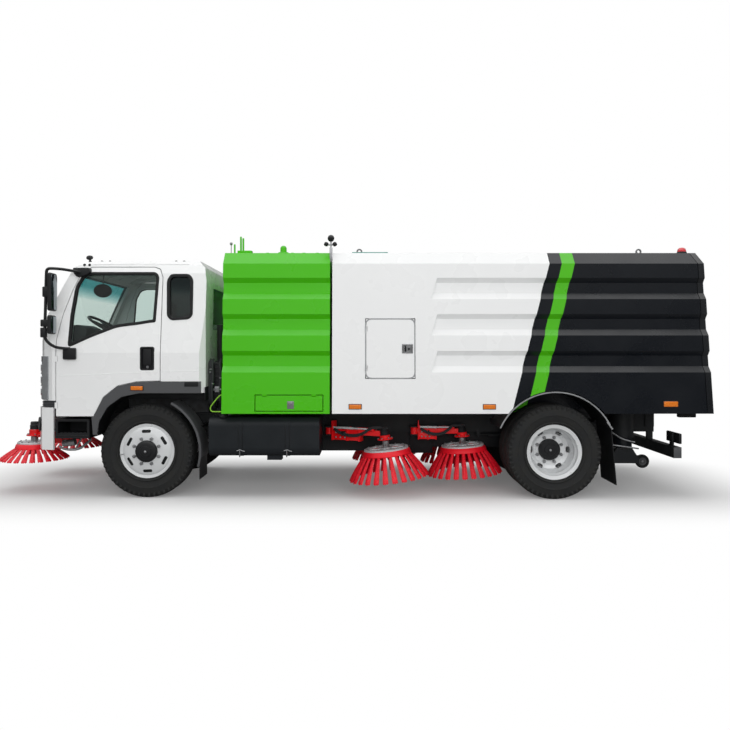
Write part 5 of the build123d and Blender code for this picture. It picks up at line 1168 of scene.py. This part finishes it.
@dataclass
class BrushArm:
    """One kind of swing arm: box beam, flanges, strut, motor and hoses.

    The hoses' course has the share of the arm's length, the share of the lane and the height in metres
    over the fork; a clip has its half width in millimetres and its bottom and top over the fork in metres.
    """

    place: str
    fork: tuple[float, float]
    plate_rise: float
    box_share: float
    lanes: Sequence[tuple[float, float]] = ((62, 0.0), (76, -0.014))
    course: Sequence[tuple[float, float, float]] = ((0.13, 0.7, 0.0), (0.18, 0.95, -0.02), (0.3, 1, -0.054),
                                                    (0.5, 1, -0.07), (0.68, 1, -0.03), (0.8, 0.8, 0.045))
    clip: tuple[float, float, float] = (84, -0.078, -0.03)

    def __post_init__(self) -> None:
        """Find the arm's two ends and which side of it lies outboard."""
        pivot = Vector(JOINTS[f"{self.place}_arm_swing_left"]["pos_m"])
        spin = JOINTS[f"{self.place}_brush_spin_left"]
        self.hub = Vector(spin["pos_m"])
        self.spindle = placed(self.hub, spin["axis"])
        self.foot = Vector((pivot.x, pivot.y, 0))
        self.head = Vector((self.hub.x, self.hub.y, 0))
        self.outboard = 1 if self.hub.x > pivot.x else -1
        self.low, self.high = (height * MM for height in self.fork)

    def build(self) -> None:
        """Make the left arm's pieces and their right-hand twins."""
        self.beam()
        self.motor()
        self.strut()
        self.hoses()

    def dress(self, name: str, pieces: Object | Sequence[Object], finish: Finish, *nodes: str) -> None:
        """Dress a piece of the left arm and its right-hand twin."""
        dress_sides(f"{self.place}_{name}_left", pieces, finish, f"{self.place}_arm_left", *nodes)

    def reach(self, share: float, aside: float, height: float) -> Vector:
        """Point over the arm's line, by a share of its length, moved aside in mm, at a height in metres."""
        return along(self.foot, self.head, share, aside) + UP * height

    def slab(self, first: float, last: float, half: float, low: float, high: float,
             ease: float = 3) -> Object:
        """Upright box along the arm, by shares of its length, half width in mm and heights in metres."""
        corners = [self.reach(share, aside, low) for share, aside in (
            (first, -half), (last, -half), (last, half), (first, half))]
        return sheet(corners, UP * (high - low), ease)

    def beam(self) -> None:
        """Bush, beam and the deeper box under it, with its flanges and bolts."""
        low, high, share = self.low, self.high, self.box_share
        ends = (low / MM + 4, high / MM - 4)
        bush = lathe([(24, ends[0]), (40, ends[0]), (40, ends[1]), (24, ends[1])], placed(self.foot), 32)
        slabs = [self.slab(*row) for row in (
            (0.03, 0.93, 26, low + 0.012, high - 0.012), (0.09, share, 34, low - 0.05, low + 0.02),
            (0.075, 0.1, 48, low - 0.056, high + 0.075),
            (share * 0.62, share * 0.62 + 0.025, 48, low - 0.056, high + 0.012),
            (share, share + 0.025, 48, low - 0.056, high + 0.006),
            (0.1, 0.4, 5, high - 0.014, high + 0.012, 2), (0.5, 0.8, 5, high - 0.014, high + 0.012, 2))]
        self.dress("beam", [bush, *slabs], RED, f"{self.place}_arm_left")
        places = [placed(self.reach(share, self.outboard * 48, low + rise) - ACROSS * 13 * MM, ACROSS)
                  for share in (0.16, 0.24, 0.32) for rise in (-0.02, 0.03)]
        self.dress("beam_bolts", copies(hex_bolt(17, 9), places), ZINC)

    def motor(self) -> None:
        """Hub, plate and black hydraulic motor over the ring."""
        rise, place = self.plate_rise, self.spindle
        self.dress("hub", lathe([(0, 3), (34, 3), (38, 10), (38, rise - 14), (30, rise), (0, rise)],
                                place, 32), ZINC)
        plate = lathe([(0, rise), (78, rise), (84, rise + 4), (84, rise + 12), (78, rise + 16),
                       (0, rise + 16)], place, 40)
        collar = lathe([(36, rise + 16), (56, rise + 16), (56, 124), (50, 130), (36, 130)], place, 36)
        self.dress("motor_plate", [plate, collar], RED)
        body = lathe([(0, 120), (47, 120), (47, 176), (42, 182), (42, 204), (36, 214), (0, 215)], place, 36)
        ports = [lathe([(0, 0), (15, 0), (15, 22), (9, 26), (0, 26)],
                       place @ Matrix.Translation((side * 0.02, 0, 0.19))
                       @ Matrix.Rotation(radians(-90), 4, "X"), 20) for side in (-1, 1)]
        self.dress("motor", [body, *ports], BLACK_PLASTIC)
        self.dress("motor_bolts", copies(hex_bolt(17, 10), ring_of(6, 71, lifted(place, rise + 15))), ZINC)

    def strut(self) -> None:
        """Plated strut with its barrel along the outer side of the beam."""
        start, middle, end = (self.reach(share, self.outboard * 44, self.high + 0.004)
                              for share in (0.1, 0.46, 0.8))
        self.dress("strut_rod", [bar(start, end, 9, 16), bar(start, middle, 13)], PLATED_RING)
        eyes = [bar(place - UP * 0.02, place + UP * 0.02, 17) for place in (start, end)]
        lugs = [self.slab(share - 0.02, share + 0.02, 52, self.high - 0.02, self.high - 0.008, 2)
                for share in (0.1, 0.8)]
        self.dress("strut_eyes", [*eyes, *lugs], RED)

    def hoses(self) -> None:
        """Pair of hydraulic hoses from the pivot to the motor, clipped to the beam on the way."""
        for index, (aside, up) in enumerate(self.lanes):
            points = [self.reach(share, self.outboard * aside * width, self.high + lift + up)
                      for share, width, lift in self.course]
            points.append(self.hub + Vector((0.02 * (1 - 2 * index), 0.03, self.plate_rise * MM + 0.125)))
            self.dress(f"hose_{index}", tube(points, 10), HOSE)
        half, low, high = self.clip
        clip = self.slab(0.285, 0.315, half, self.high + low, self.high + high)
        self.dress("hose_clip", clip, BLACK_PLASTIC)


@dataclass
class ModuleDetails:
    """Roof fittings, wire guard and hatch latch of the green front module."""

    roof_y: float = 890.0
    mast: tuple[float, float] = (1909.3, 1010)

    def build(self) -> None:
        """Make the module's pieces."""
        self.roof_fittings()
        self.lamp_mast()
        guard = tube([spot(station, 1100, height) for station, height in (
            (806, 1075), (782, 1075), (700, 972), (686, 950), (683, 925), (700, 902), (730, 902),
            (806, 902))], 6)
        other = twin(named("wire_guard_left", guard))
        finished(guard, GUARD_GREEN, "chassis", ["module_fittings"])
        finished(other, GUARD_GREEN, "chassis", [])
        latch = [block((1471, 1541), (1143, 1150), (933, 1013), 4),
                 block((1484, 1528), (1147, 1155), (950, 1002), 4)]
        dress("hatch_latch", latch, ZINC, "module_hatch")
        seam = block((820, 1890), (-4, 4), (MODULE_ROOF - 1, MODULE_ROOF + 5), 2)
        dress("roof_seam", seam, GREEN, "chassis")

    def roof_fittings(self) -> None:
        """Posts, flange, stub, dome, lugs and whip rod on the roof."""
        turned = [lathe([(0, 0), (13, 0), (10, 8), (10, top - 8), (7, top), (0, top)],
                        placed(spot(station, self.roof_y, MODULE_ROOF + 28)), 20)
                  for station, top in ((960, 152), (985, 136))]
        lug = [(0, -2), (20, -2), (18, 10), (0, 12)]
        turned += [lathe(profile, placed(spot(station, self.roof_y, MODULE_ROOF)), steps)
                   for profile, station, steps in (
                       ([(0, 0), (12, 0), (9, 8), (9, 94), (6, 100), (0, 100)], 895, 20),
                       ([(0, -2), (58, -2), (58, 8), (52, 14), (34, 14), (33, 60), (26, 76), (12, 84),
                         (0, 86)], 1406, 36), *((lug, station, 20) for station in (1240, 1500, 1620, 1760)))]
        flange = block((930, 1079), (850, 930), (MODULE_ROOF - 2, MODULE_ROOF + 30), 4)
        dress("roof_fittings", [flange, *turned], GREEN, "chassis")
        whip = lathe([(0, 0), (8, 0), (5, 10), (4, 90), (12, 96), (16, 108), (12, 120), (0, 124)],
                     placed(spot(858, self.roof_y, MODULE_ROOF - 2)), 20)
        dress("roof_whip_rod", whip, ZINC, "chassis")

    def lamp_mast(self) -> None:
        """Plated lamp mast with its black ball and two side lamps."""
        station, y = self.mast
        mast = lathe([(0, 0), (15, 0), (15, 150), (8, 160), (8, 232), (0, 232)],
                     placed(spot(station, y, 2431)), 24)
        collar = bar(spot(station - 44, y, 2615), spot(station + 38, y, 2615), 8, 16)
        dress("lamp_mast", [mast, collar], ZINC, "chassis")
        ball = lathe([(0, -36), (20, -30), (33, -12), (35, 6), (26, 26), (10, 35), (0, 36)],
                     placed(spot(station, y, 2681)), 28)
        side_lamps = [lathe([(0, -24), (18, -20), (23, -4), (22, 10), (14, 20), (0, 22)],
                            placed(spot(station + reach, y, 2622), (-reach, 0, 20)), 24)
                      for reach in (-50, 40)]
        dress("mast_lamps", [ball, *side_lamps], BLACK_PLASTIC, "chassis")


@dataclass
class TankDetails:
    """Hood, lifting eyes, beacon, buffers, access door seal, latch and marker lamps of the tank."""

    door: tuple[Sequence[float], Sequence[float]] = ((2270, 2765), (1245, 1845))
    beacon: tuple[float, float] = (5572, 905)

    def side_y(self, height: float) -> float:
        """Half width of the tank's side at a height."""
        return 1150 - (height - 885) / 1531 * 90

    def build(self) -> None:
        """Make the tank's pieces."""
        roof = MODULE_ROOF
        hood = side_sheet(((3020, roof - 2), (3440, roof - 2), (3440, roof + 60), (3400, roof + 85),
                           (3150, roof + 85)), -350, 350, 8)
        dress("roof_hood", hood, PLAIN_WHITE, "tank", "tank_fittings")
        for place, station in (("front", 2200), ("rear", 5160)):
            eye = lathe([(16, -8), (30, -8), (32, -4), (32, 4), (30, 8), (16, 8)],
                        placed(spot(station, 800, roof + 34), ACROSS), 32)
            foot = block((station - 30, station + 30), (790, 810), (roof - 2, roof + 14))
            dress_sides(f"{place}_lifting_eye_left", [eye, foot], ZINC, "tank")
        for name, profile, finish in (
                ("beacon_base", [(0, 0), (50, 0), (50, 12), (44, 18), (0, 18)], BLACK_PLASTIC),
                ("beacon", [(0, 14), (44, 16), (45, 24), (39, 48), (24, 60), (0, 64)], BEACON)):
            dress(name, lathe(profile, placed(spot(*self.beacon, roof)), 36), finish, "tank")
        dress_sides("tail_buffer_left", block((5520, 5700), (898, 962), (829, 887), 10, 3), SEAL, "tank")
        dress("roof_sheet", block((2125, 2499), (760, 940), (roof - 1, roof + 12)), TEAL_SHEET, "tank")
        self.access_door()
        self.markers()

    def access_door(self) -> None:
        """Grey rubber round the access door, its latch and its hinges."""
        corners, foot = boxed(*self.door), self.side_y(885)
        seal = ring_sheet(rounded(grown(corners, 9), 70), rounded(grown(corners, -4), 58), foot - 8, foot + 2)
        dress("access_door_seal", leaned(seal, 885, 2416, 90), LIP_GREY, "tank")
        wall = self.side_y(1545)
        plate = block((2636, 2748), (wall - 3, wall + 6), (1494, 1592), 5)
        rim = ring_sheet(rounded(boxed((2640, 2744), (1498, 1588)), 10),
                         rounded(boxed((2652, 2732), (1510, 1576)), 8), wall + 3, wall + 10, 2)
        dress("access_latch", [plate, rim], ZINC, "access_door")
        paddle = block((2662, 2680), (wall + 4, wall + 11), (1512, 1576))
        key = lathe([(0, 0), (11, 0), (11, 5), (0, 6)], placed(spot(2706, wall + 5, 1540), ACROSS), 20)
        dress("access_latch_paddle", [paddle, key], BLACK_PLASTIC, "access_door")
        edge = self.door[0][0] - 17
        hinges = [bar(spot(edge, self.side_y(height) + 1, height - 34),
                      spot(edge, self.side_y(height) + 1, height + 34), 4, 12) for height in (1340, 1750)]
        dress("access_hinges", hinges, PLAIN_WHITE, "tank")

    def markers(self) -> None:
        """Amber marker lamps along the tank's lower edge."""
        for name, front, rear, low, high in (
                ("front", 2100, 2222, 934, 978), ("middle", 3458, 3580, 933, 977),
                ("rear", 5283, 5425, 956, 1010)):
            wall = self.side_y((low + high) / 2)
            rim = block((front - 6, rear + 6), (wall - 4, wall + 7), (low - 6, high + 6), 4)
            lens = block((front, rear), (wall + 2, wall + 16), (low, high), 6, 3)
            dress_sides(f"{name}_marker_rim_left", rim, BLACK_PLASTIC, "tank")
            dress_sides(f"{name}_marker_left", lens, AMBER, "tank")


@dataclass
class ChassisDetails:
    """Straps, bolts, pipes, lips, caps and nozzle wheels under the bodies."""

    straps: tuple[float, float] = (985, 1465)
    castors: tuple[float, float] = (5315, 305)

    def build(self) -> None:
        """Make the pieces that ride on the frame."""
        self.tank_straps()
        self.arch_lips()
        self.rail_bolts()
        self.cab_underside()
        self.pipes_behind_cab()
        self.rear_end()
        self.nozzle()

    def tank_straps(self) -> None:
        """T-bolts and raised edges of the fuel tank's straps, and its filler cap."""
        bolts = []
        for station in self.straps:
            bolts.append(bar(spot(station - 4, 1086, 436), spot(station - 4, 1086, 512), 6, 14))
            bolts.append(tube(spots((station - 34, 1086, 500), (station, 1090, 516),
                                    (station + 22, 1088, 498), (station + 48, 1086, 496)), 5))
        dress("strap_bolts", bolts, ZINC, "chassis")
        ribs = [side_sheet(boxed((station + edge - 3, station + edge + 3), (520, 770)), 1078, 1083, 1.5)
                for station in self.straps for edge in (-19, 19)]
        dress("strap_ribs", ribs, BLACK_PLASTIC, "chassis")
        cap = lathe([(0, 0), (44, 0), (48, 6), (48, 26), (40, 32), (0, 33)],
                    placed(spot(800, 1000, 836), (0, 0.2, 1)), 36)
        dress("filler_cap", cap, BLACK_PLASTIC, "chassis")

    def arch_lips(self) -> None:
        """Plated lip with its stay on the rear mudguard, and the front guard's skin and rolled edge."""
        def arc(centre: float, radius: float, start: float, end: float) -> list[tuple[float, float]]:
            """Points round a wheel's centre from the front, over the top, to the rear."""
            angles = [radians(start + (end - start) * index / 24) for index in range(25)]
            return [(centre - radius * cos(angle), WHEEL_RADIUS + radius * sin(angle)) for angle in angles]

        def band(centre: float, radii: Sequence[float], start: float, end: float) -> Outline:
            """Outline between two arcs about one centre."""
            return arc(centre, radii[0], start, end) + arc(centre, radii[1], end, start)

        lip = side_sheet(band(WHEELBASE, (625, 611), 24, 156), 1112, 1124, 2)
        dress_sides("rear_arch_lip_left", lip, LIP_GREY, "chassis")
        stay = tube(spots((WHEELBASE + 520, 1119, 800), (WHEELBASE + 560, 1121, 742),
                          (WHEELBASE + 575, 1121, 725)), 9)
        dress_sides("rear_arch_stay_left", stay, LIP_GREY, "chassis")
        skin = side_sheet(band(0, (578, 574.5), 118, 186), 704, 1026, 0)
        dress_sides("front_guard_skin_left", skin, GREY_PLASTIC, "chassis")
        edge = side_sheet(band(0, (576, 552), 118, 196), 1018, 1036, 4)
        dress_sides("front_guard_edge_left", edge, GREY_PLASTIC, "chassis")

    def rail_bolts(self) -> None:
        """Bolt heads along the frame rails."""
        low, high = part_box("chassis_frame")
        log.info("frame rails reach from %.2f to %.2f", low.x, high.x)
        places = [placed(spot(station, 429, height), ACROSS) for station in range(700, 5300, 230)
                  for height in (770, 860)]
        dress_sides("rail_bolts_left", copies(hex_bolt(20, 9), places), CHASSIS, "chassis")

    def cab_underside(self) -> None:
        """Dark sheets as painted shade under the cab's floor, behind its wheel arch, at its rear and inside
        the frame under the body, and the front pipes.
        """
        # painted shade: dark sheets under the cab, where its white underside lies in shade
        cheek_shade = block((-486, 608), (721, 727), (1006, 1085), 1.5)
        dress_sides("cheek_liner_left", cheek_shade, BLACK_PLASTIC, "cab")
        arch = ((575, 1087.5), (-60, 1087.5), (-240.5, 1049.5), (-380.5, 949.5), (-470.5, 799.5),
                (-492.5, 662), (-490, 662), (-468, 799), (-378, 947.5), (-239, 1047), (-60, 1084.5),
                (575, 1084.5))
        dress_sides("arch_liner_left", side_sheet(arch, 722, 1038, 0), BLACK_PLASTIC, "cab")
        # painted shade: dark screens inside the frame, where the space under the body lies in shade
        shade_screens = [block(stations, (330, 336), (low, 640), 2)
                   for stations, low in (((2765, 3020), 372), ((3020, 3900), 440))]
        dress_sides("belly_screen_left", shade_screens, BLACK_PLASTIC, "chassis")
        wall = block((611, 617), (300, 1030), (1012, 1150), 2)
        dress_sides("rear_liner_left", wall, BLACK_PLASTIC, "cab")
        muffler = bar(spot(-925, 840, 545), spot(-790, 850, 560), 36, 28, 6)
        pipe = tube(spots((-960, 850, 520), (-930, 850, 486), (-800, 850, 478), (-720, 840, 500),
                          (-640, 800, 590)), 13)
        strap = bar(spot(-800, 845, 470), spot(-735, 830, 600), 9, 12)
        dress("front_pipes", [muffler, pipe, strap], ZINC, "chassis")

    def pipes_behind_cab(self) -> None:
        """Air duct, coolant hoses and their clamps between the cab and the green module."""
        duct = block((655, 752), (772, 880), (985, 1400), 22, 3)
        fins = [block((649, 758), (766, 886), (height, height + 16), 4) for height in range(1010, 1390, 46)]
        dress("cooling_duct_left", [duct, *fins], BLACK_PLASTIC, "chassis")
        for index, (near, y) in enumerate(((636, 900), (664, 925), (742, 905))):
            hose = tube(spots((near, y - 60, 1430), (near, y, 1400), (near + 12, y, 1250),
                              (near - 6, y + 8, 1100), (near + 4, y - 10, 960),
                              (near + 10, y - 140, 900)), 14)
            dress(f"coolant_pipe_{index}", hose, HOSE, "chassis")
        clamps = [lathe([(15, -7), (18, -7), (18, 7), (15, 7)], placed(centre), 20) for centre in spots(
            (643, 900, 1300), (671, 925, 1180), (749, 905, 1240), (655, 926, 1330))]
        valve = block((690, 742), (890, 930), (1090, 1150), 6)
        union = bar(spot(676, 912, 1118), spot(756, 912, 1118), 12, 16)
        dress("coolant_clamps", [*clamps, valve, union], ZINC, "chassis")

    def rear_end(self) -> None:
        """End plates of the guard bar, tail lamps and brake pipes at the rear."""
        for name, stations, ys, heights, ease, segments, finish in (
                ("guard_cap", (5400, 5480), (1109, 1114), (430, 540), 3, 2, GREY_PLASTIC),
                ("tail_lamp_body", (5474, 5503), (752, 1068), (567, 673), 8, 3, BLACK_PLASTIC),
                ("tail_lens_red", (5496, 5506), (960, 1056), (577, 663), 5, 3, RED_LENS),
                ("tail_lens_amber", (5496, 5506), (862, 952), (577, 663), 5, 3, AMBER),
                ("tail_lens_clear", (5496, 5506), (764, 854), (577, 663), 5, 3, CLEAR_LENS)):
            dress_sides(f"{name}_left", block(stations, ys, heights, ease, segments), finish, "chassis")
        pipes = [tube(spots((4830, 640, 700), (4930, 660, 640), (5040, 690, 560), (5160, 700, 540)), 9),
                 tube(spots((4860, 700, 520), (4960, 720, 505), (5080, 720, 490), (5200, 700, 470)), 8)]
        dress("brake_pipes", pipes, ZINC, "chassis")

    def nozzle(self) -> None:
        """Castor wheels on their axle, and the nozzle's rubber skirts."""
        station, height = self.castors
        axle = bar(spot(station, -520, height), spot(station, 520, height), 12)
        dress("nozzle_axle", axle, ZINC, "nozzle_wheels", "nozzle_wheels")
        place = placed(spot(station, 501, height), ACROSS)
        tyre = [(44, -22), (64, -24), (73, -16), (75, 0), (73, 16), (64, 24), (44, 22)]
        dress_sides("castor_tyre_left", lathe(tyre, place), SEAL, "nozzle_wheels")
        disc = [(13, -24), (24, -24), (26, -8), (46, -12), (46, 12), (26, 8), (24, 24), (13, 24)]
        dress_sides("castor_disc_left", lathe(disc, place, 40), GREY_PLASTIC, "nozzle_wheels")
        skirts = [block((front, front + 8), (-615, 615), (302, 372), 2) for front in (4923, 5229)]
        dress("nozzle_skirts", skirts, SEAL, "suction_nozzle")


# ---------------------------------------------------------------- studio
@dataclass
class Studio:
    """Pale floor, soft lamps, white surroundings and the camera."""

    camera_place: tuple[float, float, float] = (-0.2405, 8.35, 1.53)
    lens: float = 35.1
    shift_y: float = -0.0205
    floor_size: float = 120.0
    shadow_half: tuple[float, float, float] = (3.5, 0.7, 0.0)
    shadow_fade: float = 1.6
    lamp_target: tuple[float, float, float] = (0.0, 0.0, 1.2)

    def build(self) -> None:
        """Set up everything that isn't the truck."""
        scene = bpy.context.scene
        scene.view_settings.view_transform = "Standard"
        self.camera(scene)
        self.surroundings(scene)
        self.floor()
        self.lamps(scene)

    def camera(self, scene: bpy.types.Scene) -> None:
        """Level camera that looks square at the truck's left side."""
        data = bpy.data.cameras.new("camera")
        data.sensor_width = 36.0
        data.lens = self.lens
        data.shift_y = self.shift_y
        data.clip_end = 300.0
        holder = bpy.data.objects.new("camera", data)
        holder.location = self.camera_place
        holder.rotation_euler = (radians(90), 0, radians(180))
        scene.collection.objects.link(holder)
        scene.camera = holder

    def surroundings(self, scene: bpy.types.Scene) -> None:
        """White to the eye and through glass; softer in gloss and as a light on the truck."""
        scene.world = bpy.data.worlds.new("studio")
        shading = Shading(scene.world)
        path = shading.node("LightPath").outputs
        rise = shading.split(shading.coordinates("Generated"))["Z"]
        sky = shading.ranged(rise, (0.1, 0.6), (0.08, 1.2))
        fill = shading.ranged(rise, (-0.2, 0.8), (0.1, 0.5))
        lighting = shading.ranged(path["Is Glossy Ray"], (0.0, 1.0), (fill, sky))
        seen = shading.math("MAXIMUM", path["Is Camera Ray"], path["Is Transmission Ray"])
        light = shading.node("Background", {"Color": (1, 1, 1, 1),
                                            "Strength": shading.ranged(seen, (0.0, 1.0), (lighting, 1.0))})
        shading.node("OutputWorld", {"Surface": light.outputs[0]})

    def floor(self) -> None:
        """Wide matt floor, white to the eye where no shadow falls."""
        bpy.ops.object.select_all(action="DESELECT")
        bpy.ops.mesh.primitive_plane_add(size=self.floor_size)
        piece = named("floor", settle())
        made = bpy.data.materials.new("matt_studio_floor")
        shading = Shading(made)
        seen = shading.node("LightPath").outputs["Is Camera Ray"]
        albedo = shading.mix(seen, (0.3, 0.3, 0.3, 1), (0.92, 0.92, 0.92, 1))
        away = shading.math("ABSOLUTE", shading.coordinates("Object"), kind="VectorMath")
        past = shading.math("SUBTRACT", away, self.shadow_half, kind="VectorMath")
        beyond = shading.math("MAXIMUM", past, (0.0, 0.0, 0.0), kind="VectorMath")
        reach = shading.node("VectorMath", {"operation": "LENGTH", 0: beyond}).outputs["Value"]
        fade = shading.ranged(reach, (0.0, self.shadow_fade), (0.1, 1.0), "SMOOTHSTEP")
        mixed = shading.node("MixShader", {
            0: shading.math("MULTIPLY", seen, fade),
            1: shading.node("BsdfDiffuse", {"Color": albedo}).outputs[0],
            2: shading.node("Emission", {"Color": (1, 1, 1, 1), "Strength": 1.0}).outputs[0]})
        shading.node("OutputMaterial", {"Surface": mixed.outputs[0]})
        piece.data.materials.append(made)

    def lamps(self, scene: bpy.types.Scene) -> None:
        """Large soft lamp overhead, and one at the camera's side that no gloss shows."""
        for name, place, size, power in (("overhead", (0.5, 1.5, 9.0), (14.0, 9.0), 290.0),
                                         ("side", (-1.0, 14.0, 4.0), (14.0, 6.0), 1040.0)):
            data = bpy.data.lights.new(name, "AREA")
            data.shape = "RECTANGLE"
            data.size, data.size_y = size
            data.energy = power
            lamp = bpy.data.objects.new(name, data)
            lamp.location = place
            aim = Vector(self.lamp_target) - Vector(place)
            lamp.rotation_euler = aim.to_track_quat("-Z", "Y").to_euler()
            lamp.visible_glossy = name != "side"
            scene.collection.objects.link(lamp)


def main() -> None:
    """Build the studio and each sub-assembly in order."""
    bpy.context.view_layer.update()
    front_arm = BrushArm("front", (560, 640), 60, 0.5, lanes=((14, 0.0), (-14, 0.0)),
                         course=((0.13, 1, 0.004), (0.2, 1, 0.012), (0.5, 1, 0.012), (0.66, 1, 0.03),
                                 (0.8, 1, 0.06)), clip=(27, -0.02, 0.026))
    for assembly in (
            Studio(), SolidFinishes(), Wheels(), BrushSet("front", 182, 376, 190, inset=27),
            BrushSet("outer", 245, 425, 318), BrushSet("inner", 240, 410, 318), front_arm,
            BrushArm("outer", (600, 680), 80, 0.55), BrushArm("inner", (600, 680), 80, 0.44),
            CabSides(), Mirrors(), CabFront(), CabInside(), ModuleDetails(), TankDetails(), ChassisDetails()):
        assembly.build()


if __name__ == "__main__":
    main()
